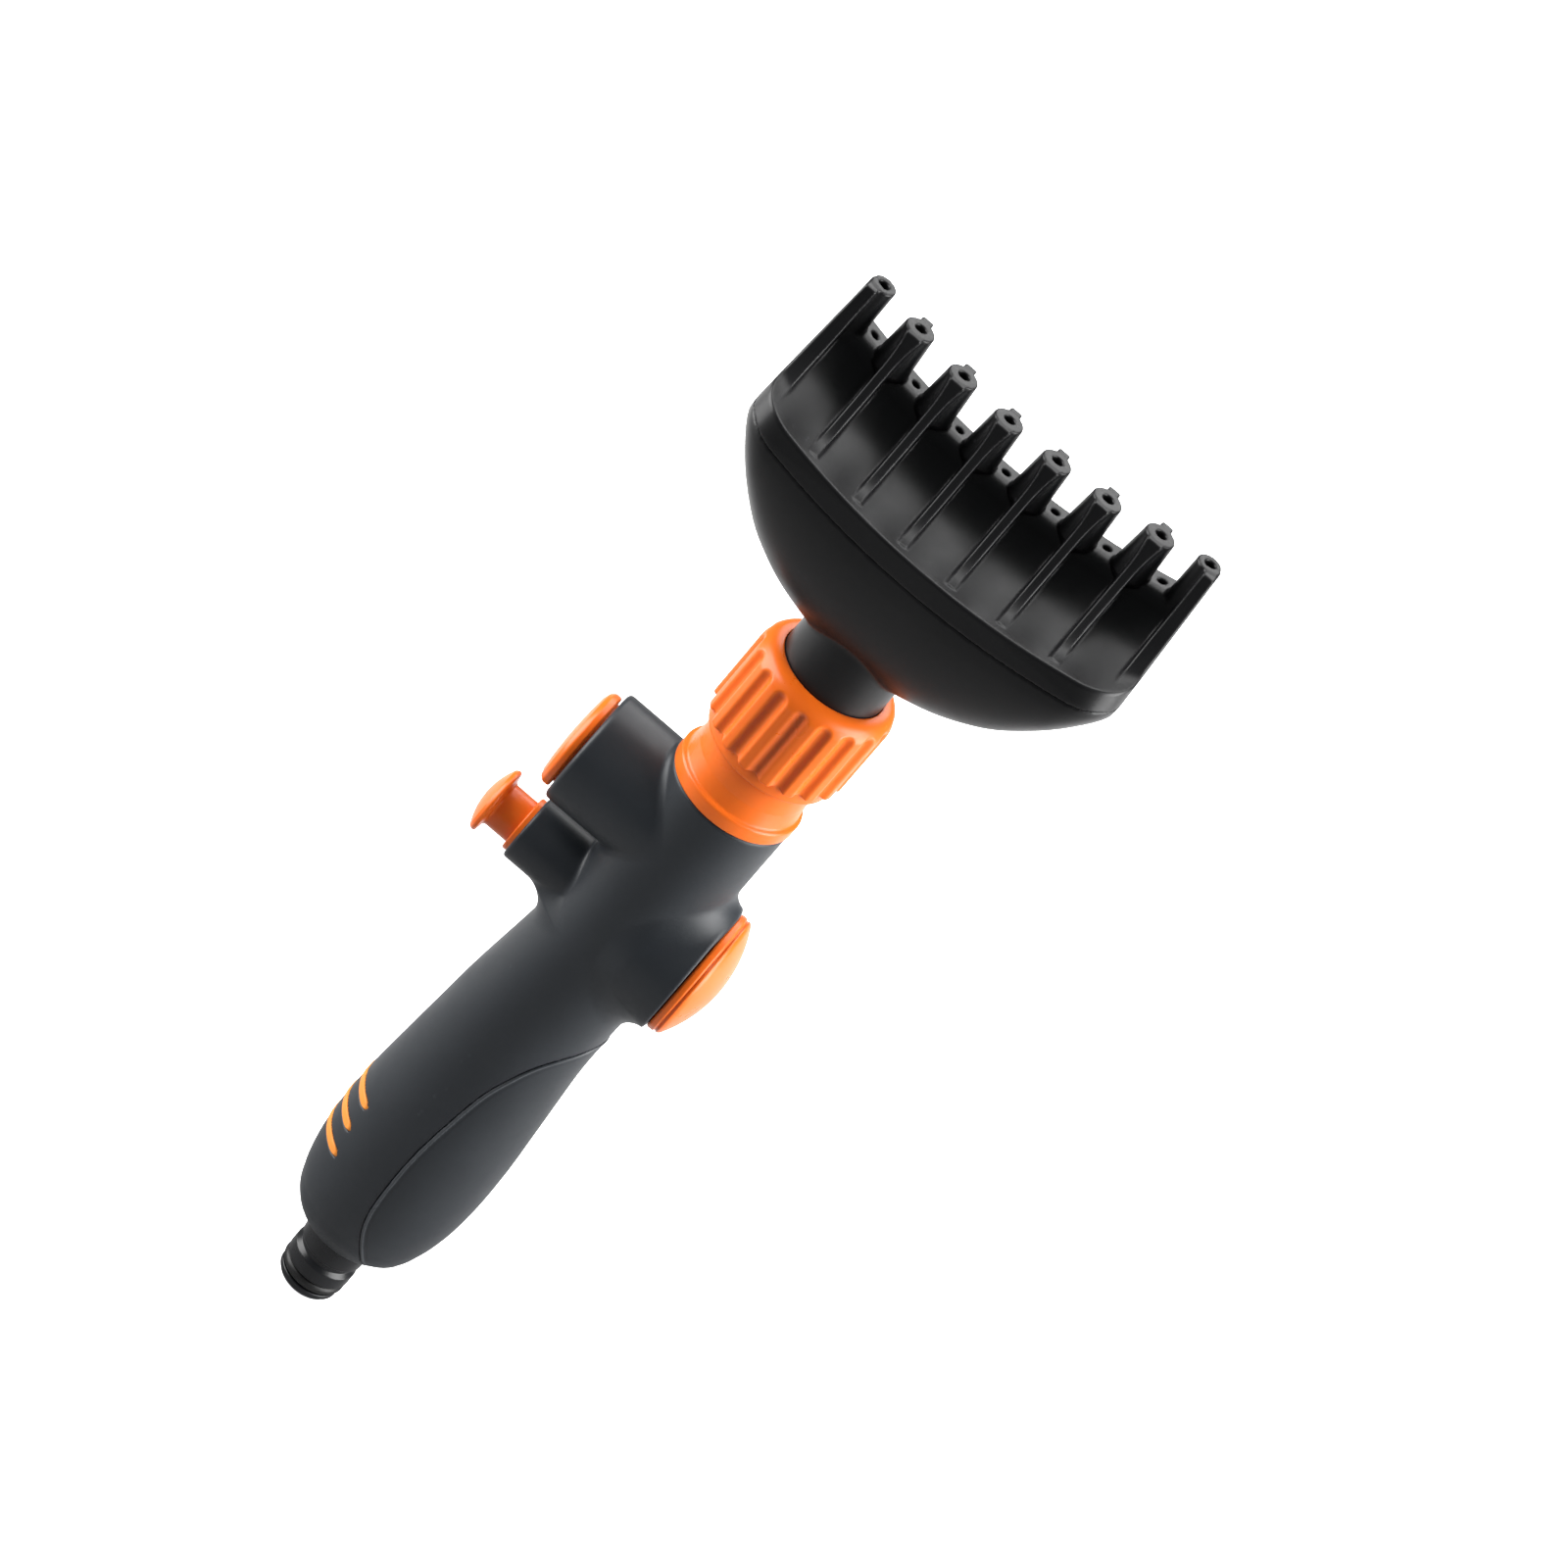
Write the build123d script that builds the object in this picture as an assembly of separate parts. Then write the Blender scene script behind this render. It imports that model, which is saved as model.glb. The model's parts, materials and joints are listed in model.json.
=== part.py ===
from build123d import *
import math
import os

# Handheld bath sprayer. Millimetres, +Z up.
# Origin: the centre of the hose tail's end face. +Z runs along the handle to the comb,
# the open face of the comb looks to -Y, and the round dome button is on the +X side.

# ---- driving dimensions ---------------------------------------------------------------
HEAD_X = 2.2              # the head, nut, collar and valve lie this far right of the tail
RUN_GAP = 0.05            # radial running clearance
SEAT_GAP = 0.02           # radial clearance of a part that is pushed into its seat

# hose tail
TAIL_R = 8.85
TAIL_GROOVE_R = 7.7
TAIL_BORE_R = 4.5
TAIL_TOP_Z = 34.0
TAIL_SHANK_R = 8.2
TUBE_R = 6.0              # the water tubes inside the handle
TUBE_BORE_R = 4.0

# grip: height and half width of each section, from the tail end up to the collar
GRIP_BOTTOM_Z = 20.5
GRIP_SECTIONS = [
    (20.5, 11.8), (22.0, 13.9), (25.5, 16.8), (31.0, 18.9), (39.0, 20.6), (50.0, 21.5),
    (64.0, 21.4), (82.0, 20.2), (104.0, 18.6), (126.0, 17.6), (150.0, 17.1), (174.0, 16.8), (196.0, 16.8),
]
GRIP_DEPTH_RATIO = 0.93   # depth over width of the lower grip
GRIP_X = -0.5             # the grip's middle against the tail's line
GRIP_WALL = 2.6
SHIFT_START_Z = 100.0     # between these heights the grip leans over to the head's line
SHIFT_END_Z = 150.0
BODY_TOP_Z = 196.0

# palm pad and stripes
PAD_PROUD = 0.35
PAD_DEPTH = 1.0
PAD_TOP_Z = 119.0
PAD_LOW_Z = 24.5
STRIPES = [(47.3, 31.0), (55.3, 29.0), (63.3, 28.4)]    # height and length of each stripe
STRIPE_HEIGHT = 2.1
STRIPE_PROUD = 0.2
STRIPE_DEPTH = 0.8

# stop valve, lying along X
VALVE_Z = 149.0
SPOOL_R = 6.1
SPOOL_BORE_R = SPOOL_R + RUN_GAP
SPOOL_NOSE_R = 4.0        # the spool's end that the dome's socket fits over
SPOOL_GROOVE_X = (-24.0, -8.0, 11.7)
SPOOL_GROOVE_DEPTH = 1.1
SPOOL_RING_WIRE_R = 0.55
PORT_R = 3.6
HOUSING_R = 7.7
PLUNGER_BOSS_R = 9.0
PLUNGER_BOSS_X = -30.2
PLUNGER_INNER_X = -38.6
PLUNGER_OUTER_X = -42.9
PLUNGER_CAP_R = 9.2
BUSH_OUTER_X = -31.6
BUSH_INNER_X = -27.4
DOME_BOSS_R = 18.9
DOME_BOSS_X = 22.6
DOME_LIP_X = 22.9
DOME_RING_X = 25.8
DOME_TOP_X = 31.2
DOME_R = 17.7
DOME_SKIRT_R = 14.5
DOME_SKIRT_LOW_X = 12.4
DOME_SEAT_R = 16.0        # the hole in the shell that the dome's guide sits in

# soap boss, lying along X
SOAP_Z = 178.6
SOAP_BOSS_R = 15.9
SOAP_BOSS_X = -31.7
SOAP_BORE_R = 13.5
SOAP_CUP_R = 12.0
SOAP_FLOOR_X = -9.0
SOAP_CAP_R = 13.75
SOAP_CAP_INNER_X = -32.2
SOAP_CAP_OUTER_X = -36.4

# outlet spout, collar and union nut
SPOUT_R = 9.4
SHELL_TOP_BORE_R = 14.2
COLLAR_FLANGE_R = 17.1
COLLAR_FLANGE_TOP_Z = 200.0
COLLAR_WAIST_R = 15.4
COLLAR_TOP_Z = 227.6
THREAD_R = 16.1
THREAD_ROOT_R = 15.2
THREAD_START_Z = 215.0
THREAD_PITCH = 3.0
COLLAR_BORE_R = 12.5
NUT_LOW_Z = 211.6
NUT_RIB_LOW_Z = 214.6
NUT_TOP_Z = 239.7
NUT_R = 19.0
NUT_LIP_R = 18.7
NUT_BORE_R = THREAD_R + 0.1
NUT_GROOVES = 18
NUT_GROOVE_R = 1.25
NUT_GROOVE_TOP_Z = 235.8
NUT_SHOULDER = 4.7

# head
NECK_R = 14.0
NECK_BORE_R = 11.0
NECK_FLANGE_R = 15.7
NECK_FLANGE_LOW_Z = 229.6
NECK_FLANGE_TOP_Z = 232.6
SPIGOT_LOW_Z = 221.0
SPIGOT_BORE_R = 9.5
BOWL_LOW_Z = 245.6
BOWL_DROP = [             # distance from mid width, and how far the bowl hangs below the seam
    (0.0, 36.2), (15.0, 34.6), (29.0, 30.5), (37.5, 25.8),
    (43.0, 20.8), (47.6, 15.6), (51.3, 10.8), (54.8, 6.4),
]
SEAM_Z = 282.4            # joint between bowl and comb plate, at mid width
SMILE_R = 210.0           # the seam, rim and tips all rise towards the ends on this radius
HEAD_HALF_WIDTH = 54.8
HEAD_HALF_DEPTH = 21.3
HEAD_CORNER_R = 11.0
SKIN = 2.2                # wall of the bowl and the comb plate
RIM_Z = 288.6
LEDGE_WIDTH = 2.3
PLATEAU_Z = 303.8         # flat top of the comb plate, at mid width
PLATEAU_FRONT_Y = 6.0
PLATEAU_BACK_Y = 16.0
TIP_Z = 316.4
TOOTH_PITCH = 14.5
TOOTH_Y = 9.2
TOOTH_R = 4.3
TOOTH_BORE_R = 1.5
END_TOOTH_X = 49.2
FIN_WIDTH = 3.2
FIN_REACH = 6.4
REAR_FIN_REACH = 5.7
SIDE_TAPER = 4.0          # degrees, the lean of the comb's side walls
JET_R = 0.9
KNUCKLE_R = 4.9

CENTRED_LOW = (Align.CENTER, Align.CENTER, Align.MIN)


# ---- helpers --------------------------------------------------------------------------
def z_rod(radius, z_low, z_high, x=HEAD_X, y=0.0):
    return Pos(x, y, z_low) * Cylinder(radius, z_high - z_low, align=CENTRED_LOW)


def x_rod(radius, x_low, x_high, z, y=0.0):
    return Pos(x_low, y, z) * Rot(0, 90, 0) * Cylinder(radius, x_high - x_low, align=CENTRED_LOW)


def z_tube(outer, inner, z_low, z_high, x=HEAD_X):
    return z_rod(outer, z_low, z_high, x) - z_rod(inner, z_low, z_high, x)


def x_tube(outer, inner, x_low, x_high, z):
    return x_rod(outer, x_low, x_high, z) - x_rod(inner, x_low, x_high, z)


def turned(edges, x=HEAD_X):
    """A solid turned about Z from a closed outline of (radius, height)."""
    face = make_face(edges)
    return Pos(x, 0, 0) * revolve(Plane.XZ * face, Axis.Z)


def turned_on_x(edges, z):
    """A solid turned about the X direction at a height, from an outline of (x, radius)."""
    face = make_face(edges)
    return Pos(0, 0, z) * revolve(Plane.XZ * face, Axis.X)


def side_profile(edges, x_low, x_high):
    """An outline of (y, z) pushed along X from x_low to x_high."""
    face = Plane.YZ * make_face(edges)
    return Pos(x_low, 0, 0) * extrude(face, x_high - x_low, dir=(1, 0, 0))


def closed_line(points):
    return Polyline(*points, close=True)


def crown_arc(rim_x, rim_r, top_x):
    """The arc of a ball, from a rim point (x, radius) to the top point on the axis."""
    height = abs(top_x - rim_x)
    ball_r = (rim_r ** 2 + height ** 2) / (2 * height)
    half_angle = math.asin(rim_r / ball_r) / 2
    way = math.copysign(1.0, top_x - rim_x)
    mid_x = top_x - way * ball_r * (1 - math.cos(half_angle))
    return ThreePointArc((rim_x, rim_r), (mid_x, ball_r * math.sin(half_angle)), (top_x, 0))


def smile(x_from_head):
    """How far the head's parts rise at a distance from mid width."""
    return x_from_head ** 2 / (2 * SMILE_R)


# ---- grip -----------------------------------------------------------------------------
def grip_centre(z):
    """The grip's centre line leans from the tail's line to the head's line."""
    share = min(max((z - SHIFT_START_Z) / (SHIFT_END_Z - SHIFT_START_Z), 0.0), 1.0)
    return GRIP_X + (HEAD_X - GRIP_X) * (3 * share ** 2 - 2 * share ** 3)


def grip_depth_ratio(z):
    """The lower grip is slightly flat, and it turns round towards the collar."""
    share = min(max((z - SHIFT_START_Z) / (SHIFT_END_Z - SHIFT_START_Z), 0.0), 1.0)
    return GRIP_DEPTH_RATIO + (1 - GRIP_DEPTH_RATIO) * share


def grip_form(extra, bottom_lift=0.0, top_drop=0.0):
    """The grip's outer form, grown outwards by extra."""
    sections = []
    for z, half_width in GRIP_SECTIONS:
        share = (z - GRIP_BOTTOM_Z) / (BODY_TOP_Z - GRIP_BOTTOM_Z)
        height = z + bottom_lift * (1 - share) - top_drop * share
        across = half_width + extra
        deep = half_width * grip_depth_ratio(z) + extra
        sections.append(Pos(grip_centre(z), 0, height) * Ellipse(across, deep))
    return loft(sections)


def pad_region():
    """The palm pad's outline seen from the front, pushed through the grip."""
    edge = Spline(
        (19.5, PAD_TOP_Z), (14.5, 108.5), (7.0, 95.0), (2.7, 78.8), (0.9, 56.0), (2.6, 38.0), (8.5, PAD_LOW_Z)
    )
    far_side = Polyline((8.5, PAD_LOW_Z), (40, PAD_LOW_Z), (40, PAD_TOP_Z), (19.5, PAD_TOP_Z))
    face = Plane.XZ * make_face([edge, far_side])
    return extrude(face, 40, both=True)


def stripe_region(z, length):
    """One stripe's outline seen from the left, pushed into the grip."""
    face = Plane.YZ * Pos(0, z) * SlotOverall(length, STRIPE_HEIGHT)
    return Pos(-40, 0, 0) * extrude(face, 40, dir=(1, 0, 0))


def handle_bosses():
    """The three round bosses on the sides of the handle."""
    soap = x_rod(SOAP_BOSS_R, SOAP_BOSS_X, HEAD_X, SOAP_Z)
    soap = fillet(soap.edges().sort_by(Axis.X)[0], 1.4)
    plunger = x_rod(PLUNGER_BOSS_R, PLUNGER_BOSS_X, HEAD_X, VALVE_Z)
    plunger = fillet(plunger.edges().sort_by(Axis.X)[0], 0.9)
    flare_outline = [
        (-25.0, 0), (-25.0, PLUNGER_BOSS_R), (-20.0, 10.6), (-15.5, 14.0), (HEAD_X, 14.0), (HEAD_X, 0)
    ]
    flare = turned_on_x(closed_line(flare_outline), VALVE_Z)
    dome = x_rod(DOME_BOSS_R, 4.5, DOME_BOSS_X, VALVE_Z)
    dome = fillet(dome.edges().sort_by(Axis.X)[-1], 1.0)
    dome = fillet(dome.edges().sort_by(Axis.X)[0], 2.0)
    return soap + plunger + flare + dome


def make_handle_shell():
    outer = grip_form(0.0) + handle_bosses()
    room = grip_form(-GRIP_WALL, bottom_lift=3.0, top_drop=3.0)
    shell = outer - room
    shell -= z_rod(TAIL_SHANK_R + SEAT_GAP, GRIP_BOTTOM_Z - 1, 30.0, x=0)
    shell -= z_rod(SHELL_TOP_BORE_R, 185.0, BODY_TOP_Z + 1)
    shell -= x_rod(SOAP_BORE_R, SOAP_BOSS_X - 1, SOAP_FLOOR_X + 0.2, SOAP_Z)
    shell -= x_rod(HOUSING_R + SEAT_GAP, PLUNGER_BOSS_X - 1, HEAD_X, VALVE_Z)
    shell -= x_rod(DOME_SEAT_R + SEAT_GAP, 8.0, DOME_BOSS_X + 1, VALVE_Z)
    shell -= (grip_form(1.0) & pad_region()) - grip_form(-PAD_DEPTH)
    for z, length in STRIPES:
        shell -= (grip_form(1.0) & stripe_region(z, length)) - grip_form(-STRIPE_DEPTH)
    return shell


def make_palm_pad():
    return (grip_form(PAD_PROUD) & pad_region()) - grip_form(-PAD_DEPTH)


def make_grip_stripes():
    band = grip_form(STRIPE_PROUD) - grip_form(-STRIPE_DEPTH)
    return [band & stripe_region(z, length) for z, length in STRIPES]


# ---- inlet ----------------------------------------------------------------------------
def make_hose_tail():
    outline = [
        (TAIL_BORE_R, 0), (7.2, 0), (7.9, 0.7), (8.3, 1.4), (8.3, 2.6), (6.6, 2.6), (6.6, 6.2),
        (TAIL_R - 0.3, 6.2), (TAIL_R, 6.5), (TAIL_R, 10.0), (TAIL_R - 0.4, 10.4),
        (TAIL_GROOVE_R, 11.4), (TAIL_GROOVE_R, 13.2), (TAIL_R - 0.3, 13.4), (TAIL_R, 13.7),
        (TAIL_R, GRIP_BOTTOM_Z), (TAIL_SHANK_R, GRIP_BOTTOM_Z), (TAIL_SHANK_R, TAIL_TOP_Z),
        (TAIL_BORE_R, TAIL_TOP_Z),
    ]
    return turned(closed_line(outline), x=0)


def make_ring(centre_r, wire_r, z, x=HEAD_X):
    return Pos(x, 0, z) * Torus(centre_r, wire_r)


def make_ring_on_x(centre_r, wire_r, x, z):
    return Pos(x, 0, z) * Rot(0, 90, 0) * Torus(centre_r, wire_r)


def make_inlet_tube():
    """A straight tube from the tail up to the valve, with a foot that sits on the washer."""
    lean_top_z = 118.0
    foot = z_tube(TAIL_SHANK_R, TUBE_BORE_R, TAIL_TOP_Z + 1.6, TAIL_TOP_Z + 5.0, x=0)
    low = z_tube(TUBE_R, TUBE_BORE_R, TAIL_TOP_Z + 5.0, SHIFT_START_Z, x=0)
    start = Pos(0, 0, SHIFT_START_Z)
    end = Pos(HEAD_X, 0, lean_top_z)
    lean = loft([start * Circle(TUBE_R), end * Circle(TUBE_R)])
    lean -= loft([start * Circle(TUBE_BORE_R), end * Circle(TUBE_BORE_R)])
    high = z_tube(TUBE_R, TUBE_BORE_R, lean_top_z, VALVE_Z - HOUSING_R - 2.0)
    return foot + low + lean + high


# ---- valve ----------------------------------------------------------------------------
def make_valve_housing():
    barrel = x_rod(HOUSING_R, BUSH_INNER_X, 15.0, VALVE_Z)
    sockets = z_rod(7.4, VALVE_Z - HOUSING_R - 6.0, VALVE_Z + HOUSING_R + 6.0)
    bore = x_rod(SPOOL_BORE_R, BUSH_INNER_X - 1, 16.0, VALVE_Z)
    ports = z_rod(PORT_R, VALVE_Z - 20, VALVE_Z + 20)
    inlet_seat = z_rod(TUBE_R + SEAT_GAP, VALVE_Z - 30, VALVE_Z - HOUSING_R - 2.0)
    outlet_seat = z_rod(TUBE_R + SEAT_GAP, VALVE_Z + HOUSING_R + 2.0, VALVE_Z + 30)
    return barrel + sockets - bore - ports - inlet_seat - outlet_seat


def make_plunger_bush():
    bush = x_tube(HOUSING_R, SPOOL_BORE_R, BUSH_OUTER_X, BUSH_INNER_X, VALVE_Z)
    return chamfer(bush.edges().sort_by(Axis.X)[0:2].sort_by(SortBy.LENGTH)[-1], 0.4)


def make_dome_guide():
    ring = x_tube(DOME_SEAT_R, DOME_SKIRT_R + RUN_GAP, 17.0, DOME_BOSS_X - 0.3, VALVE_Z)
    floor = x_tube(DOME_SEAT_R, HOUSING_R + SEAT_GAP, 10.0, 11.8, VALVE_Z)
    wall = x_tube(DOME_SEAT_R, DOME_SEAT_R - 1.0, 11.8, 17.0, VALVE_Z)
    return ring + floor + wall


def make_valve_spool():
    """The rod that runs through the valve: its waist lets the water pass when pushed in."""
    spool = x_rod(SPOOL_R, -30.0, 14.0, VALVE_Z)
    spool -= x_tube(SPOOL_R + 1, 3.4, -6.6, -0.6, VALVE_Z)
    for x in SPOOL_GROOVE_X:
        spool -= x_tube(SPOOL_R + 1, SPOOL_R - SPOOL_GROOVE_DEPTH, x - 0.75, x + 0.75, VALVE_Z)
    spool += x_rod(SPOOL_NOSE_R, 14.0, 18.0, VALVE_Z)
    spool -= x_rod(1.5, 6.5, 19.0, VALVE_Z)
    spool += x_rod(3.0, -34.0, -30.0, VALVE_Z)
    return spool


def make_spool_o_rings():
    centre_r = SPOOL_R - SPOOL_GROOVE_DEPTH + SPOOL_RING_WIRE_R + SEAT_GAP
    return [make_ring_on_x(centre_r, SPOOL_RING_WIRE_R, x, VALVE_Z) for x in SPOOL_GROOVE_X]


def make_plunger_button():
    """A mushroom button: a stem as wide as the spool and a wider, gently domed cap."""
    rim = PLUNGER_INNER_X - 1.3
    rim_start = (PLUNGER_INNER_X - 0.7, PLUNGER_CAP_R - 0.5)
    edges = [
        Line((-30.02, 0), (-30.02, SPOOL_R)),
        Line((-30.02, SPOOL_R), (PLUNGER_INNER_X, SPOOL_R)),
        Line((PLUNGER_INNER_X, SPOOL_R), rim_start),
        ThreePointArc(rim_start, (rim, PLUNGER_CAP_R), (rim - 0.8, PLUNGER_CAP_R - 0.3)),
        crown_arc(rim - 0.8, PLUNGER_CAP_R - 0.3, PLUNGER_OUTER_X),
        Line((PLUNGER_OUTER_X, 0), (-30.02, 0)),
    ]
    return turned_on_x(edges, VALVE_Z) - x_rod(3.0 + SEAT_GAP, -34.1, -30.0, VALVE_Z)


def make_dome_button():
    """A domed button with a lip ring, a guide skirt and a socket for the spool."""
    lip = x_rod(DOME_R, DOME_LIP_X, DOME_RING_X, VALVE_Z)
    lip = fillet(lip.edges(), 0.8)
    crown = turned_on_x(
        [
            Line((DOME_RING_X - 0.6, 0), (DOME_RING_X - 0.6, DOME_R - 0.7)),
            Line((DOME_RING_X - 0.6, DOME_R - 0.7), (DOME_RING_X + 0.2, DOME_R - 0.7)),
            crown_arc(DOME_RING_X + 0.2, DOME_R - 0.7, DOME_TOP_X),
            Line((DOME_TOP_X, 0), (DOME_RING_X - 0.6, 0)),
        ],
        VALVE_Z,
    )
    hollow = x_rod(DOME_SKIRT_R - 1.6, 12.0, DOME_RING_X, VALVE_Z)
    skirt = x_rod(DOME_SKIRT_R, DOME_SKIRT_LOW_X, DOME_LIP_X + 1, VALVE_Z)
    socket = x_rod(5.6, 14.2, DOME_RING_X + 1, VALVE_Z)
    socket -= x_rod(SPOOL_NOSE_R + SEAT_GAP, 14.0, 18.05, VALVE_Z)
    button = lip + crown + skirt - hollow + socket
    return button - x_rod(1.7, 18.0, 24.0, VALVE_Z) - x_rod(3.2, 21.0, 27.0, VALVE_Z)


def make_dome_screw():
    shank = x_rod(1.45, 8.0, 21.5, VALVE_Z)
    head = x_rod(3.0, 21.02, 23.4, VALVE_Z)
    slot = Pos(23.4, 0, VALVE_Z) * Box(1.6, 0.8, 4.4)
    return shank + head - slot


# ---- soap -----------------------------------------------------------------------------
def make_soap_chamber():
    cup = x_rod(SOAP_BORE_R - SEAT_GAP, SOAP_BOSS_X + 0.4, SOAP_FLOOR_X, SOAP_Z)
    cup -= x_rod(SOAP_CUP_R, SOAP_BOSS_X, SOAP_FLOOR_X - 1.6, SOAP_Z)
    return cup - x_rod(0.8, SOAP_FLOOR_X - 2, SOAP_FLOOR_X + 1, SOAP_Z)


def make_soap_feed_tube():
    return x_tube(2.2, 0.8, SOAP_FLOOR_X, HEAD_X - TUBE_R, SOAP_Z) - z_rod(TUBE_R + SEAT_GAP, 150, 200)


def make_soap_cap():
    """The orange disc and its plug, with one groove for the seal."""
    rim = SOAP_CAP_OUTER_X + 2.6
    edges = [
        Line((SOAP_CAP_INNER_X, 0), (SOAP_CAP_INNER_X, SOAP_CAP_R - 0.6)),
        Line((SOAP_CAP_INNER_X, SOAP_CAP_R - 0.6), (SOAP_CAP_INNER_X - 0.6, SOAP_CAP_R)),
        Line((SOAP_CAP_INNER_X - 0.6, SOAP_CAP_R), (rim, SOAP_CAP_R)),
        ThreePointArc((rim, SOAP_CAP_R), (rim - 1.3, SOAP_CAP_R - 0.8), (rim - 1.9, SOAP_CAP_R - 3.0)),
        crown_arc(rim - 1.9, SOAP_CAP_R - 3.0, SOAP_CAP_OUTER_X),
        Line((SOAP_CAP_OUTER_X, 0), (SOAP_CAP_INNER_X, 0)),
    ]
    plug = x_rod(SOAP_CUP_R - RUN_GAP, SOAP_CAP_INNER_X - 0.5, -24.0, SOAP_Z)
    plug -= x_tube(SOAP_CUP_R + 1, SOAP_CUP_R - 1.2, -27.6, -26.0, SOAP_Z)
    plug -= x_rod(SOAP_CUP_R - 3.0, SOAP_CAP_INNER_X + 0.6, -23.0, SOAP_Z)
    return turned_on_x(edges, SOAP_Z) + plug


def make_soap_cap_seal():
    return make_ring_on_x(SOAP_CUP_R - 0.62, 0.55, -26.8, SOAP_Z)


# ---- outlet ---------------------------------------------------------------------------
def make_outlet_tube():
    tube = z_tube(TUBE_R, TUBE_BORE_R, VALVE_Z + HOUSING_R + 2.0, 199.0)
    spout = z_tube(SPOUT_R, TUBE_BORE_R, 196.4, 206.0)
    groove = z_tube(10.0, 8.2, 200.6, 202.4)
    return tube + spout - groove - x_rod(0.8, SOAP_FLOOR_X, HEAD_X, SOAP_Z)


def make_outlet_collar():
    """Flange, slim waist and a threaded spout; the thread is a stack of round ridges."""
    outline = [
        (9.5, BODY_TOP_Z), (COLLAR_FLANGE_R - 0.5, BODY_TOP_Z), (COLLAR_FLANGE_R, BODY_TOP_Z + 0.5),
        (COLLAR_FLANGE_R, COLLAR_FLANGE_TOP_Z - 0.6), (COLLAR_FLANGE_R - 0.6, COLLAR_FLANGE_TOP_Z),
        (COLLAR_WAIST_R + 0.9, COLLAR_FLANGE_TOP_Z + 0.8), (COLLAR_WAIST_R, COLLAR_FLANGE_TOP_Z + 4.5),
        (COLLAR_WAIST_R, THREAD_START_Z - 2.0), (THREAD_ROOT_R, THREAD_START_Z - 1.0),
        (THREAD_ROOT_R, COLLAR_TOP_Z), (COLLAR_BORE_R, COLLAR_TOP_Z), (COLLAR_BORE_R, 212.0), (9.5, 209.0),
    ]
    collar = turned(closed_line(outline))
    ridge_z = THREAD_START_Z
    while ridge_z + 2.2 < COLLAR_TOP_Z:
        ridge = [
            (THREAD_ROOT_R - 1, ridge_z), (THREAD_ROOT_R, ridge_z), (THREAD_R, ridge_z + 0.7),
            (THREAD_R, ridge_z + 1.4), (THREAD_ROOT_R, ridge_z + 2.1), (THREAD_ROOT_R - 1, ridge_z + 2.1),
        ]
        collar += turned(closed_line(ridge))
        ridge_z += THREAD_PITCH
    return collar


def make_collar_nut():
    """The fluted union nut: a rounded shoulder above, a plain lip below."""
    arc_mid = NUT_SHOULDER * (1 - math.sqrt(0.5))
    shoulder_z = NUT_TOP_Z - NUT_SHOULDER
    edges = [
        Line((NUT_BORE_R, NUT_LOW_Z), (NUT_LIP_R - 1.4, NUT_LOW_Z)),
        ThreePointArc(
            (NUT_LIP_R - 1.4, NUT_LOW_Z), (NUT_LIP_R - 0.4, NUT_LOW_Z + 0.5), (NUT_LIP_R, NUT_LOW_Z + 1.6)
        ),
        Line((NUT_LIP_R, NUT_LOW_Z + 1.6), (NUT_R, NUT_RIB_LOW_Z)),
        Line((NUT_R, NUT_RIB_LOW_Z), (NUT_R, shoulder_z)),
        ThreePointArc(
            (NUT_R, shoulder_z), (NUT_R - arc_mid, NUT_TOP_Z - arc_mid), (NUT_R - NUT_SHOULDER, NUT_TOP_Z)
        ),
        Line((NUT_R - NUT_SHOULDER, NUT_TOP_Z), (NECK_R + 0.1, NUT_TOP_Z)),
        Line((NECK_R + 0.1, NUT_TOP_Z), (NECK_R + 0.1, NECK_FLANGE_TOP_Z + 1.2)),
        Line((NECK_R + 0.1, NECK_FLANGE_TOP_Z + 1.2), (NUT_BORE_R, NECK_FLANGE_TOP_Z + 1.2)),
        Line((NUT_BORE_R, NECK_FLANGE_TOP_Z + 1.2), (NUT_BORE_R, NUT_LOW_Z)),
    ]
    nut = turned(edges)
    groove = z_rod(NUT_GROOVE_R, NUT_RIB_LOW_Z + 0.4, NUT_GROOVE_TOP_Z, x=0)
    groove += Pos(0, 0, NUT_GROOVE_TOP_Z) * Sphere(NUT_GROOVE_R)
    groove = Pos(NUT_R + 0.25, 0, 0) * groove
    grooves = []
    for step in range(NUT_GROOVES):
        angle = -90 + 2.8 + step * 360 / NUT_GROOVES
        grooves.append(Pos(HEAD_X, 0, 0) * Rot(0, 0, angle) * groove)
    return nut - grooves


def make_slip_washer():
    return z_tube(NUT_BORE_R - 0.1, NECK_R + RUN_GAP, NECK_FLANGE_TOP_Z + 0.1, NECK_FLANGE_TOP_Z + 1.15)


# ---- head -----------------------------------------------------------------------------
def head_plan(inset, z_low, z_high):
    """The head's rounded outline seen from above, pushed up, and shrunk by inset."""
    outline = RectangleRounded(
        2 * (HEAD_HALF_WIDTH - inset), 2 * (HEAD_HALF_DEPTH - inset), HEAD_CORNER_R - inset
    )
    return Pos(HEAD_X, 0, z_low) * extrude(outline, z_high - z_low)


def tapered_plan():
    """The head's outline above the rim, leaning inwards on every side."""
    outline = RectangleRounded(2 * HEAD_HALF_WIDTH, 2 * HEAD_HALF_DEPTH, HEAD_CORNER_R)
    return Pos(HEAD_X, 0, RIM_Z) * extrude(outline, 340 - RIM_Z, taper=SIDE_TAPER)


def smile_rod(z_mid):
    """A long cylinder along Y whose lowest line is at z_mid: all above the smile curve."""
    centre_z = SEAM_Z + SMILE_R
    return Pos(HEAD_X, 0, centre_z) * Rot(90, 0, 0) * Cylinder(centre_z - z_mid, 120)


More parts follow.
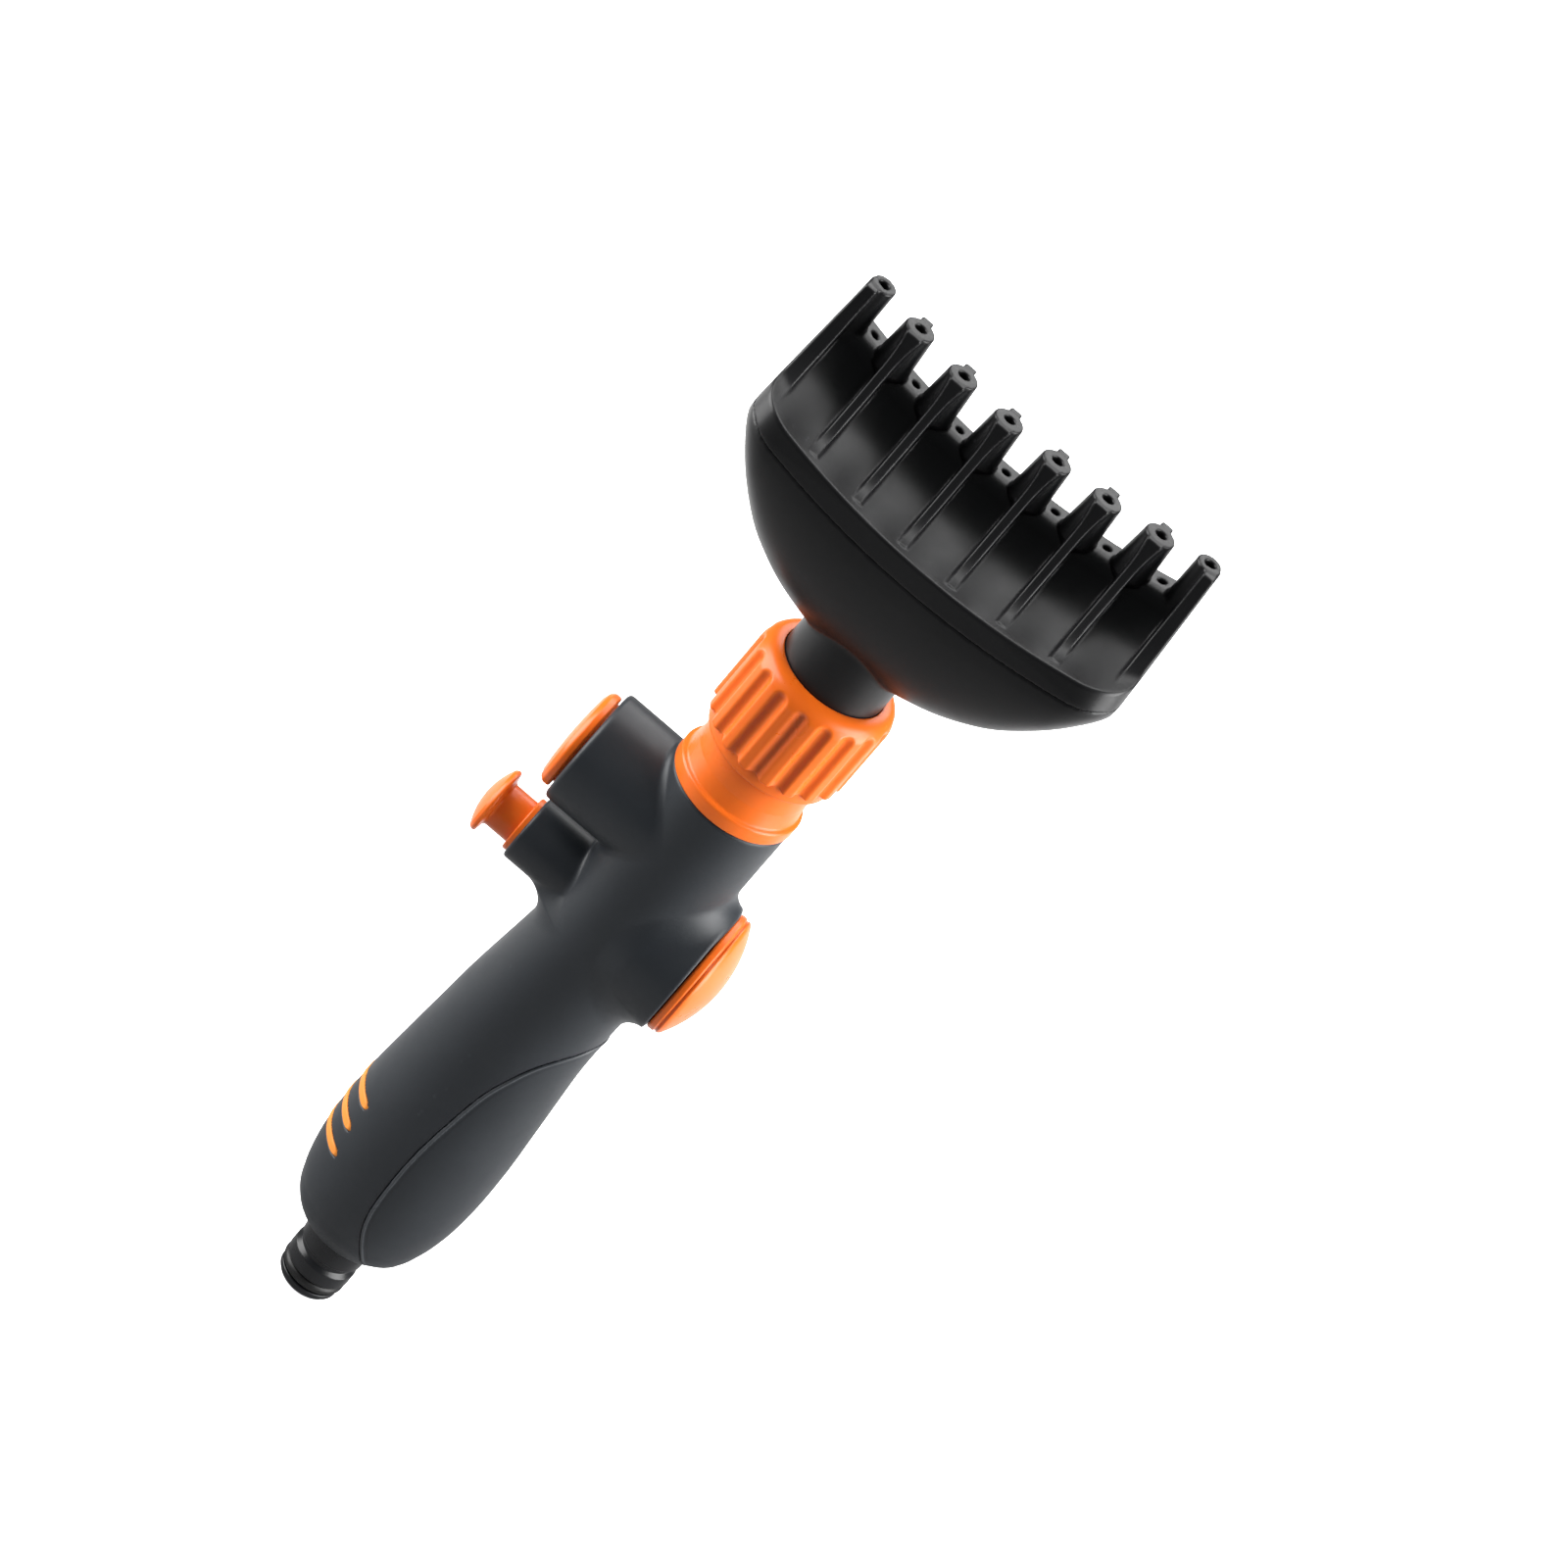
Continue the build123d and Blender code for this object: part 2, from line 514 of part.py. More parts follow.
def swept_section(edges):
    """A section of (y, z) at mid width, swept sideways along the smile curve."""
    half_angle = 17.5
    axis = Axis((HEAD_X, 0, SEAM_Z + SMILE_R), (0, 1, 0))
    face = Plane.YZ.offset(HEAD_X) * make_face(edges)
    return revolve(face.rotate(axis, -half_angle), axis, revolution_arc=2 * half_angle)


def plan_half_depth(x, inset):
    """Half the head's depth at a distance from mid width, with its rounded corners."""
    corner_x = HEAD_HALF_WIDTH - HEAD_CORNER_R
    into_corner = max(0.0, abs(x) - corner_x)
    corner = HEAD_CORNER_R - inset
    return HEAD_HALF_DEPTH - HEAD_CORNER_R + math.sqrt(max(corner ** 2 - into_corner ** 2, 1.0))


def bowl_form(inset):
    """The bowl: sideways sections, each half an ellipse under the seam, closed above it."""
    stations = [-x for x, drop in reversed(BOWL_DROP[1:])] + [x for x, drop in BOWL_DROP]
    drops = [drop for x, drop in reversed(BOWL_DROP[1:])] + [drop for x, drop in BOWL_DROP]
    sections = []
    for x, drop in zip(stations, drops):
        seam = SEAM_Z + smile(x)
        x_in = x * (HEAD_HALF_WIDTH - inset) / HEAD_HALF_WIDTH
        half_depth = plan_half_depth(x_in, inset)
        arc = EllipticalCenterArc((0, seam), half_depth, max(drop - inset, 2.0), 180, arc_size=180)
        above = seam + 14
        top = Polyline((half_depth, seam), (half_depth, above), (-half_depth, above), (-half_depth, seam))
        sections.append(Plane.YZ.offset(HEAD_X + x_in) * make_face([arc, top]))
    return loft(sections)


def make_head_bowl():
    bowl = bowl_form(0.0)
    hollow = bowl_form(SKIN)
    neck = z_rod(NECK_R, NECK_FLANGE_TOP_Z, 262.0)
    flange = z_rod(NECK_FLANGE_R, NECK_FLANGE_LOW_Z, NECK_FLANGE_TOP_Z)
    spigot = z_rod(COLLAR_BORE_R - RUN_GAP, SPIGOT_LOW_Z, NECK_FLANGE_LOW_Z)
    spigot -= z_tube(COLLAR_BORE_R + 1, COLLAR_BORE_R - 1.4, 224.6, 226.4)
    bore = z_rod(SPIGOT_BORE_R, SPIGOT_LOW_Z - 1, 236.0) + z_rod(NECK_BORE_R, 236.0, 262.0)
    above_seam = smile_rod(SEAM_Z)
    ledge = head_plan(1.0, 270, 300) - head_plan(4.4, 270, 300)
    ledge = (ledge & smile_rod(SEAM_Z - 3.2)) - smile_rod(SEAM_Z - 1.2)
    return bowl + neck - hollow + flange + spigot - bore + ledge - above_seam


def panel_curve():
    """The comb plate's concave front, as (y, z) edges from the ledge to the plateau."""
    ledge_y = -HEAD_HALF_DEPTH + LEDGE_WIDTH
    top_z = PLATEAU_Z - 1.5
    return EllipticalCenterArc((ledge_y, top_z), PLATEAU_FRONT_Y - ledge_y, top_z - RIM_Z, -90, arc_size=90)


def comb_block():
    """Everything under the comb plate's outer surface, down to the seam."""
    front_y = -HEAD_HALF_DEPTH
    edges = [
        Line((front_y, SEAM_Z), (front_y, RIM_Z - 0.6)),
        Line((front_y, RIM_Z - 0.6), (front_y + 0.6, RIM_Z)),
        Line((front_y + 0.6, RIM_Z), (front_y + LEDGE_WIDTH, RIM_Z)),
        panel_curve(),
        Line((PLATEAU_FRONT_Y, PLATEAU_Z - 1.5), (PLATEAU_FRONT_Y, PLATEAU_Z)),
        Line((PLATEAU_FRONT_Y, PLATEAU_Z), (PLATEAU_BACK_Y, PLATEAU_Z)),
        Line((PLATEAU_BACK_Y, PLATEAU_Z), (HEAD_HALF_DEPTH, RIM_Z)),
        Line((HEAD_HALF_DEPTH, RIM_Z), (HEAD_HALF_DEPTH, SEAM_Z)),
        Line((HEAD_HALF_DEPTH, SEAM_Z), (front_y, SEAM_Z)),
    ]
    return swept_section(edges) & head_plan(0.0, 270, 330)


def comb_hollow():
    """The water room behind the comb plate's skin."""
    front_y = -HEAD_HALF_DEPTH + SKIN
    step_y = PLATEAU_FRONT_Y + SKIN + 0.4
    top_z = PLATEAU_Z - 4.2
    edges = [
        Line((front_y, SEAM_Z - 2), (front_y, RIM_Z - SKIN)),
        EllipticalCenterArc((front_y, top_z), step_y - front_y, top_z - RIM_Z + SKIN, -90, arc_size=90),
        Line((step_y, top_z), (step_y, PLATEAU_Z - SKIN)),
        Line((step_y, PLATEAU_Z - SKIN), (PLATEAU_BACK_Y - SKIN, PLATEAU_Z - SKIN)),
        Line((PLATEAU_BACK_Y - SKIN, PLATEAU_Z - SKIN), (HEAD_HALF_DEPTH - SKIN, RIM_Z - SKIN)),
        Line((HEAD_HALF_DEPTH - SKIN, RIM_Z - SKIN), (HEAD_HALF_DEPTH - SKIN, SEAM_Z - 2)),
        Line((HEAD_HALF_DEPTH - SKIN, SEAM_Z - 2), (front_y, SEAM_Z - 2)),
    ]
    return swept_section(edges) & head_plan(SKIN + 2.4, 270, 330)


def fin_profile(tip_z, reach, foot_y, foot_z):
    """The front fin seen from the side: a quarter ellipse sweeps from the tip to the ledge."""
    front_y = TOOTH_Y - reach
    base_z = foot_z - 1.2
    return [
        Line((TOOTH_Y, tip_z), (front_y, tip_z)),
        EllipticalCenterArc((foot_y, tip_z), front_y - foot_y, tip_z - foot_z, -90, arc_size=90),
        Line((foot_y, foot_z), (foot_y, base_z)),
        Line((foot_y, base_z), (TOOTH_Y, base_z)),
        Line((TOOTH_Y, base_z), (TOOTH_Y, tip_z)),
    ]


def inner_tooth(offset):
    """One hollow tooth with its front fin and its short rear fin."""
    tip_z = TIP_Z + smile(offset)
    rise = smile(offset)
    x = HEAD_X + offset
    post = z_rod(TOOTH_R, PLATEAU_Z - 6.0 + rise, tip_z, x=x, y=TOOTH_Y)
    post = chamfer(post.edges().sort_by(Axis.Z)[-1], 0.35)
    fin_outline = fin_profile(tip_z, FIN_REACH, -HEAD_HALF_DEPTH + 3.4, RIM_Z + 0.2 + rise)
    fin = side_profile(fin_outline, x - FIN_WIDTH / 2, x + FIN_WIDTH / 2)
    rear_height = tip_z - PLATEAU_Z - rise + 2
    rear = Pos(x, TOOTH_Y, tip_z) * Box(
        FIN_WIDTH, REAR_FIN_REACH, rear_height, align=(Align.CENTER, Align.MIN, Align.MAX)
    )
    return post + fin + rear


def end_tooth(side):
    """The outermost tooth: its fin stands on the outer side and is the head's side wall."""
    rise = smile(END_TOOTH_X)
    tip_z = TIP_Z + rise
    x = HEAD_X + side * END_TOOTH_X
    post = z_rod(3.4, PLATEAU_Z - 6.0 + rise, tip_z, x=x, y=TOOTH_Y)
    wall_outline = fin_profile(tip_z, 5.4, -HEAD_HALF_DEPTH + 5.6, RIM_Z + 0.2 + rise)
    wall = side_profile(wall_outline, -4.4, 0.0)
    wall = Pos(HEAD_X + HEAD_HALF_WIDTH, 0, RIM_Z) * Rot(0, -SIDE_TAPER, 0) * Pos(0, 0, -RIM_Z) * wall
    if side < 0:
        wall = mirror(wall, Plane((HEAD_X, 0, 0), x_dir=(0, 1, 0), z_dir=(1, 0, 0)))
    return post + wall


def knuckle(offset):
    """The rounded lip between two teeth, with its small jet behind the crest."""
    rise = smile(offset)
    lip = Pos(HEAD_X + offset, 5.2, PLATEAU_Z - 3.2 + rise) * Rot(-90, 0, 0)
    lip = lip * Cylinder(KNUCKLE_R, 6.0, align=CENTRED_LOW)
    return fillet(lip.edges().sort_by(Axis.Y)[0], 1.6)


def make_comb_plate():
    teeth_x = [TOOTH_PITCH * (step - 2.5) for step in range(6)]
    gaps_x = [TOOTH_PITCH * (step - 3.0) for step in range(7)]
    plate = comb_block()
    for offset in gaps_x:
        plate += knuckle(offset)
    for offset in teeth_x:
        plate += inner_tooth(offset)
    plate += end_tooth(-1)
    plate += end_tooth(1)
    plate &= head_plan(0.0, 270, RIM_Z) + tapered_plan()
    plate -= comb_hollow()
    for offset in teeth_x:
        plate -= z_rod(TOOTH_BORE_R, SEAM_Z, 340, x=HEAD_X + offset, y=TOOTH_Y)
    for side in (-1, 1):
        plate -= z_rod(TOOTH_BORE_R, SEAM_Z, 340, x=HEAD_X + side * END_TOOTH_X, y=TOOTH_Y)
    for offset in gaps_x:
        plate -= z_rod(JET_R, SEAM_Z, 340, x=HEAD_X + offset, y=12.6)
    return plate - smile_rod_below()


def smile_rod_below():
    """Everything under the seam's curve, which belongs to the bowl."""
    block = Pos(HEAD_X, 0, SEAM_Z - 20) * Box(140, 80, 60)
    return block - smile_rod(SEAM_Z)


def make_head_gasket():
    ring = head_plan(SKIN + 0.6, 270, 300) - head_plan(4.2, 270, 300)
    return (ring & smile_rod(SEAM_Z - 1.2)) - smile_rod(SEAM_Z)


def make_flow_screen():
    """A perforated disc that evens the flow: a centre hole and two rings of holes."""
    screen = z_rod(NECK_BORE_R - SEAT_GAP, 236.0, 237.2) - z_rod(0.9, 235, 238)
    for count, ring_r in ((6, 4.2), (12, 8.2)):
        for step in range(count):
            angle = 2 * math.pi * step / count
            screen -= z_rod(0.9, 235, 238, x=HEAD_X + ring_r * math.cos(angle), y=ring_r * math.sin(angle))
    return screen


# ---- write every piece ----------------------------------------------------------------
PIECES = {
    "handle_shell": make_handle_shell,
    "palm_pad": make_palm_pad,
    "grip_stripes": make_grip_stripes,
    "hose_tail": make_hose_tail,
    "tail_o_ring": lambda: make_ring(7.4, 1.4, 4.4, x=0) - z_rod(6.6 + SEAT_GAP, 0, 9, x=0),
    "tail_washer": lambda: z_tube(TAIL_SHANK_R, TUBE_BORE_R, TAIL_TOP_Z, TAIL_TOP_Z + 1.6, x=0),
    "inlet_tube": make_inlet_tube,
    "valve_housing": make_valve_housing,
    "plunger_bush": make_plunger_bush,
    "dome_guide": make_dome_guide,
    "valve_spool": make_valve_spool,
    "spool_o_rings": make_spool_o_rings,
    "plunger_button": make_plunger_button,
    "dome_button": make_dome_button,
    "dome_screw": make_dome_screw,
    "soap_chamber": make_soap_chamber,
    "soap_feed_tube": make_soap_feed_tube,
    "soap_cap": make_soap_cap,
    "soap_cap_seal": make_soap_cap_seal,
    "outlet_tube": make_outlet_tube,
    "outlet_seal": lambda: make_ring(8.86, 0.6, 201.5),
    "outlet_collar": make_outlet_collar,
    "collar_nut": make_collar_nut,
    "slip_washer": make_slip_washer,
    "head_bowl": make_head_bowl,
    "comb_plate": make_comb_plate,
    "head_gasket": make_head_gasket,
    "neck_o_ring": lambda: make_ring(COLLAR_BORE_R - 0.72, 0.66, 225.5),
    "flow_screen": make_flow_screen,
}

os.makedirs("parts", exist_ok=True)
for name, make in PIECES.items():
    made = make()
    solids = list(made) if isinstance(made, list) else [made]
    solids = [solid for piece in solids for solid in piece.solids()]
    whole = solids[0] if len(solids) == 1 else Compound(children=solids)
    export_step(whole, f"parts/{name}.step")
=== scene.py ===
"""Looks of the handheld bath sprayer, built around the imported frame.

Moulded parts are meshed from distance fields, so that their bosses, ribs and teeth run into
each other with true fillets. Turned parts are swept outlines with rounded corners. Lengths in
the shape functions are millimetres in the part's own frame; meshes are made in metres.
"""
import json
import math

import bmesh
import bpy
import numpy as np
from mathutils import Matrix, Vector


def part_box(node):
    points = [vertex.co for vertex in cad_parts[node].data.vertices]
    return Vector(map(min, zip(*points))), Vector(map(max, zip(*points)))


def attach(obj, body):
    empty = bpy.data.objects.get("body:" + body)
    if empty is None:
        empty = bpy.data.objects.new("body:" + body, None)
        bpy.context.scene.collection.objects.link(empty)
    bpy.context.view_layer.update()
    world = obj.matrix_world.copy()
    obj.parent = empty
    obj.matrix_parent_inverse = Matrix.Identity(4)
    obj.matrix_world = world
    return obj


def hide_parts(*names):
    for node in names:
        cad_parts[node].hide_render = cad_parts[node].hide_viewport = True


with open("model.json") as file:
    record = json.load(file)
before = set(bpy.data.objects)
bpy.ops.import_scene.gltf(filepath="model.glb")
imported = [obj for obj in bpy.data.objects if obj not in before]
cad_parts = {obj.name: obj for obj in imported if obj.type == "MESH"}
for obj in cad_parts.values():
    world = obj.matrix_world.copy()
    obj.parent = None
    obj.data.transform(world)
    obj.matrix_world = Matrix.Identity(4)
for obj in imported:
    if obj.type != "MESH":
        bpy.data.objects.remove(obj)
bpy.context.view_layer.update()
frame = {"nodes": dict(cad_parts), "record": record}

MM = 0.001


def box_mm(node):
    low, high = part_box(node)
    return np.array(low) / MM, np.array(high) / MM


# ---- places taken from the frame --------------------------------------------------------
SHELL_LOW, SHELL_HIGH = box_mm("handle_shell")
TAIL_LOW, TAIL_HIGH = box_mm("hose_tail")
PLUNGER_LOW, PLUNGER_HIGH = box_mm("plunger_button")
BUSH_LOW, BUSH_HIGH = box_mm("plunger_bush")
DOME_LOW, DOME_HIGH = box_mm("dome_button")
SOAP_LOW, SOAP_HIGH = box_mm("soap_cap")
CUP_HIGH = box_mm("soap_chamber")[1]
COLLAR_LOW, COLLAR_HIGH = box_mm("outlet_collar")
NUT_LOW, NUT_HIGH = box_mm("collar_nut")
BOWL_LOW, BOWL_HIGH = box_mm("head_bowl")
COMB_LOW, COMB_HIGH = box_mm("comb_plate")
GASKET_LOW = box_mm("head_gasket")[0]

HEAD_X = (NUT_LOW[0] + NUT_HIGH[0]) / 2          # middle line of head, nut, collar and valve
BODY_LOW_Z = SHELL_LOW[2]
BODY_TOP_Z = SHELL_HIGH[2]
VALVE_Z = (DOME_LOW[2] + DOME_HIGH[2]) / 2
SOAP_Z = (SOAP_LOW[2] + SOAP_HIGH[2]) / 2
SEAM_Z = GASKET_LOW[2] + 1.2                      # the gasket is 1.2 mm thick and lies under the seam
HEAD_HALF_WIDTH = (COMB_HIGH[0] - COMB_LOW[0]) / 2
HEAD_HALF_DEPTH = (COMB_HIGH[1] - COMB_LOW[1]) / 2
WALL = 2.6                                        # thickness of the handle's shell
SKIN = 2.2                                        # thickness of the bowl and the comb plate
PLAIN = 0.01                                      # edge radius of a cutter without rounding
PAST = 9.0                                        # how far a cutter runs past what it opens


# ---- distance fields ----------------------------------------------------------------------
def rounded_or(a, b, radius):
    """Union of two fields with a fillet."""
    into_a = np.maximum(radius - a, 0)
    into_b = np.maximum(radius - b, 0)
    return np.maximum(radius, np.minimum(a, b)) - np.sqrt(into_a * into_a + into_b * into_b)


def rounded_and(a, b, radius):
    """Overlap of two fields with a rounded edge."""
    past_a = np.maximum(radius + a, 0)
    past_b = np.maximum(radius + b, 0)
    return np.minimum(-radius, np.maximum(a, b)) + np.sqrt(past_a * past_a + past_b * past_b)


def rounded_cut(a, b, radius):
    """a without b, with a rounded edge."""
    return rounded_and(a, -b, radius)


def between(value, low, high):
    return np.abs(value - (low + high) / 2) - (high - low) / 2


def rod_x(x, y, z, centre_z, radius, x_low, x_high, edge):
    """A rod along X with rounded end edges."""
    return rounded_and(np.hypot(y, z - centre_z) - radius, between(x, x_low, x_high), edge)


def rod_z(x, y, z, centre_x, centre_y, radius, z_low, z_high, edge):
    """An upright rod with rounded end edges."""
    return rounded_and(np.hypot(x - centre_x, y - centre_y) - radius, between(z, z_low, z_high), edge)


def ellipse(across, up, radius_across, radius_up):
    """Distance to an ellipse, to first order."""
    reach = np.sqrt((across / radius_across) ** 2 + (up / radius_up) ** 2) + 1e-6
    steep = np.sqrt((across / radius_across ** 2) ** 2 + (up / radius_up ** 2) ** 2) + 1e-9
    return reach * (reach - 1) / steep


def smooth_curve(pairs, count=600):
    """Many points of a smooth curve through (place, value) pairs, for np.interp."""
    place = np.array([pair[0] for pair in pairs], float)
    value = np.array([pair[1] for pair in pairs], float)
    slope = np.gradient(value, place)
    fine = np.linspace(place[0], place[-1], count)
    piece = np.clip(np.searchsorted(place, fine) - 1, 0, len(place) - 2)
    length = place[piece + 1] - place[piece]
    t = (fine - place[piece]) / length
    start = (2 * t ** 3 - 3 * t ** 2 + 1) * value[piece] + (t ** 3 - 2 * t ** 2 + t) * length * slope[piece]
    end = (3 * t ** 2 - 2 * t ** 3) * value[piece + 1] + (t ** 3 - t ** 2) * length * slope[piece + 1]
    return fine, start + end


CELL_CORNERS = [(i, j, k) for i in (0, 1) for j in (0, 1) for k in (0, 1)]
CELL_EDGES = [
    (a, b) for a in range(8) for b in range(a + 1, 8)
    if sum(abs(p - q) for p, q in zip(CELL_CORNERS[a], CELL_CORNERS[b])) == 1
]


def surface_net(field, low, high, step):
    """A closed quad mesh on the zero level of a field, as (points, quads)."""
    low = np.asarray(low, float) - 2.5 * step
    counts = np.ceil((np.asarray(high, float) - low) / step).astype(int) + 3
    x, y, z = [low[i] + step * np.arange(counts[i]) for i in range(3)]
    values = np.empty(counts, np.float32)
    slab = 16
    for first in range(0, counts[0], slab):
        part = x[first:first + slab, None, None]
        values[first:first + slab] = field(part, y[None, :, None], z[None, None, :])
    inside = values < 0
    size = [n - 1 for n in counts]
    full = np.zeros(size, np.uint8)
    for i, j, k in CELL_CORNERS:
        full += inside[i:i + size[0], j:j + size[1], k:k + size[2]]
    cells = np.argwhere((full > 0) & (full < 8))
    number = np.full(size, -1, np.int32)
    number[tuple(cells.T)] = np.arange(len(cells))
    corner = np.array(CELL_CORNERS)
    at = [values[tuple((cells + corner[c]).T)].astype(float) for c in range(8)]
    total = np.zeros((len(cells), 3))
    hits = np.zeros(len(cells))
    for a, b in CELL_EDGES:
        crossed = (at[a] < 0) != (at[b] < 0)
        share = np.where(crossed, at[a] / np.where(crossed, at[a] - at[b], 1), 0)
        place = corner[a] + share[:, None] * (corner[b] - corner[a])
        total += place * crossed[:, None]
        hits += crossed
    points = low + step * (cells + total / hits[:, None])
    quads = []
    for axis in range(3):
        side_u = np.eye(3, dtype=int)[(axis + 1) % 3]
        side_w = np.eye(3, dtype=int)[(axis + 2) % 3]
        near = np.moveaxis(inside, axis, 0)[:-1]
        far = np.moveaxis(inside, axis, 0)[1:]
        for outward in (True, False):
            change = np.moveaxis((near & ~far) if outward else (~near & far), 0, axis)
            edge = np.argwhere(change)
            around = [edge - side_u - side_w, edge - side_w, edge, edge - side_u]
            quad = np.stack([number[tuple(cell.T)] for cell in around], 1)
            quads.append(quad if outward else quad[:, ::-1])
    quads = np.concatenate(quads)
    for _ in range(2):
        points = step_to_surface(field, points, step)
    for _ in range(2):
        points = step_to_surface(field, relaxed(points, quads), step)
    return step_to_surface(field, points, step), quads


def relaxed(points, quads):
    """Points moved half way to the middle of their neighbours, which evens the mesh out."""
    total = np.zeros_like(points)
    hits = np.zeros(len(points))
    for side in (1, 3):
        near = quads.ravel()
        far = np.roll(quads, side, axis=1).ravel()
        for axis in range(3):
            total[:, axis] += np.bincount(near, points[far, axis], len(points))
        hits += np.bincount(near, minlength=len(points))
    return 0.5 * points + 0.5 * total / hits[:, None]


def step_to_surface(field, points, step):
    """One Newton step of each point towards the zero level."""
    reach = 0.2 * step
    here = field(*points.T)
    slope = np.empty_like(points)
    for axis in range(3):
        ahead = points.copy()
        ahead[:, axis] += reach
        slope[:, axis] = (field(*ahead.T) - here) / reach
    length = np.maximum((slope ** 2).sum(1), 0.25)
    move = -np.clip(here, -step, step)[:, None] * slope / length[:, None]
    return points + np.clip(move, -0.6 * step, 0.6 * step)


# ---- mesh helpers -------------------------------------------------------------------------
def make_object(name, points_mm, faces):
    mesh = bpy.data.meshes.new(name)
    mesh.from_pydata((np.asarray(points_mm) * MM).tolist(), [], np.asarray(faces).tolist())
    mesh.update()
    mesh.shade_smooth()
    piece = bpy.data.objects.new(name, mesh)
    bpy.context.scene.collection.objects.link(piece)
    return piece


def moulded(name, field, low, high, step):
    """A piece meshed from a distance field."""
    points, quads = surface_net(field, low, high, step)
    return make_object(name, points, quads)


def rounded_outline(corners, arc_steps):
    """A closed outline whose corners (across, along, radius) are rounded by arcs."""
    outline = []
    count = len(corners)
    for i, (across, along, radius) in enumerate(corners):
        here = np.array([across, along], float)
        back = np.array(corners[i - 1][:2], float) - here
        ahead = np.array(corners[(i + 1) % count][:2], float) - here
        back_length = np.linalg.norm(back)
        ahead_length = np.linalg.norm(ahead)
        back /= back_length
        ahead /= ahead_length
        opening = math.acos(float(np.clip(back @ ahead, -1, 1)))
        if radius <= 0 or opening > math.pi - 0.05:
            outline.append(here)
            continue
        trim = min(radius / math.tan(opening / 2), 0.49 * back_length, 0.49 * ahead_length)
        fitted = trim * math.tan(opening / 2)
        middle = back + ahead
        middle = here + middle / np.linalg.norm(middle) * fitted / math.sin(opening / 2)
        start = here + back * trim - middle
        end = here + ahead * trim - middle
        sweep = math.pi - opening
        for step in range(arc_steps + 1):
            t = step / arc_steps
            mix = (math.sin((1 - t) * sweep) * start + math.sin(t * sweep) * end) / math.sin(sweep)
            outline.append(middle + mix)
    return np.array(outline)


def turned(name, corners, centre, axis="Z", segments=160, arc_steps=6):
    """A piece swept around an axis from an outline of (radius, place along the axis, corner radius).

    The outline runs so that its outside faces outwards; a radius of 0 closes on the axis."""
    outline = rounded_outline(corners, arc_steps)
    angles = 2 * np.pi * np.arange(segments) / segments
    points, rings = [], []
    for radius, along in outline:
        if radius < 1e-6:
            rings.append([len(points)])
            points.append(place_turned(0.0, along, 0.0, centre, axis))
            continue
        rings.append(list(range(len(points), len(points) + segments)))
        points += [place_turned(radius, along, angle, centre, axis) for angle in angles]
    faces = []
    for ring, following in zip(rings, rings[1:] + rings[:1]):
        if len(ring) == 1 and len(following) == 1:
            continue
        for i in range(segments):
            j = (i + 1) % segments
            if len(ring) == 1:
                faces.append((ring[0], following[j], following[i]))
            elif len(following) == 1:
                faces.append((ring[i], ring[j], following[0]))
            else:
                faces.append((ring[i], ring[j], following[j], following[i]))
    mesh = bpy.data.meshes.new(name)
    mesh.from_pydata([tuple(MM * value for value in point) for point in points], [], faces)
    mesh.update()
    piece = bpy.data.objects.new(name, mesh)
    bpy.context.scene.collection.objects.link(piece)
    face_outwards(piece)
    mesh.shade_smooth()
    return piece


def place_turned(radius, along, angle, centre, axis):
    across = radius * math.cos(angle)
    up = radius * math.sin(angle)
    if axis == "Z":
        return (centre[0] + across, centre[1] + up, along)
    return (along, centre[1] + across, centre[2] + up)


def face_outwards(piece):
    work = bmesh.new()
    work.from_mesh(piece.data)
    bmesh.ops.recalc_face_normals(work, faces=work.faces)
    work.to_mesh(piece.data)
    work.free()


def crown(rim_radius, rim_along, top_along, steps=14):
    """Points of a ball cap from its rim up to the top on the axis, as turned corners."""
    height = abs(top_along - rim_along)
    way = math.copysign(1.0, top_along - rim_along)
    ball = (rim_radius ** 2 + height ** 2) / (2 * height)
    half = math.asin(min(rim_radius / ball, 1.0))
    corners = []
    for step in range(steps + 1):
        angle = half * (1 - step / steps)
        corners.append((ball * math.sin(angle), top_along - way * ball * (1 - math.cos(angle)), 0))
    return corners


# ---- handle shell, pad and stripes ----------------------------------------------------------
GRIP_SECTIONS = [         # height and half width
    (20.5, 11.8), (22.0, 13.9), (25.5, 16.8), (31.0, 18.9), (39.0, 20.6), (50.0, 21.5), (64.0, 21.4),
    (82.0, 20.2), (104.0, 18.6), (126.0, 17.6), (150.0, 17.1), (174.0, 16.8), (196.0, 16.8),
]
GRIP_X = -0.5
GRIP_DEPTH_RATIO = 0.93
SHIFT_START_Z = 100.0
SHIFT_END_Z = 150.0
PAD_EDGE = [              # height, and the x where the pad's edge runs
    (24.5, 8.5), (38.0, 2.8), (57.0, 0.8), (78.8, 2.1), (98.0, 5.8), (110.0, 11.6), (119.0, 20.5),
]
PAD_END_Z = 120.0
PAD_PROUD = 0.2
PAD_DEPTH = 1.0
PAD_SEAT_DEPTH = 1.05
BEAD_WIDTH = 1.2
BEAD_HEIGHT = 0.3
SEAT_GAP = 0.05
DOME_BOSS_R = 18.9
PLUNGER_BOSS_R = 9.0
SOAP_BOSS_R = 15.9
STRIPES = [(47.3, 31.0), (55.3, 29.0), (63.3, 28.4)]        # height and length
STRIPE_HALF_HEIGHT = 1.2
STRIPE_TAPER = 2.2        # length over which a stripe narrows at each end
STRIPE_PROUD = 0.2
STRIPE_DEPTH = 0.8
STRIPE_SEAT_DEPTH = 0.85
SOAP_BORE_R = 13.5
HOUSING_BORE_R = 7.72
DOME_SEAT_R = 16.02
DOME_SEAT_FLOOR_X = 8.0
TAIL_BORE_R = 8.22
TAIL_BORE_TOP_Z = 30.0
OUTLET_BORE_R = 14.2
OUTLET_BORE_LOW_Z = 185.0

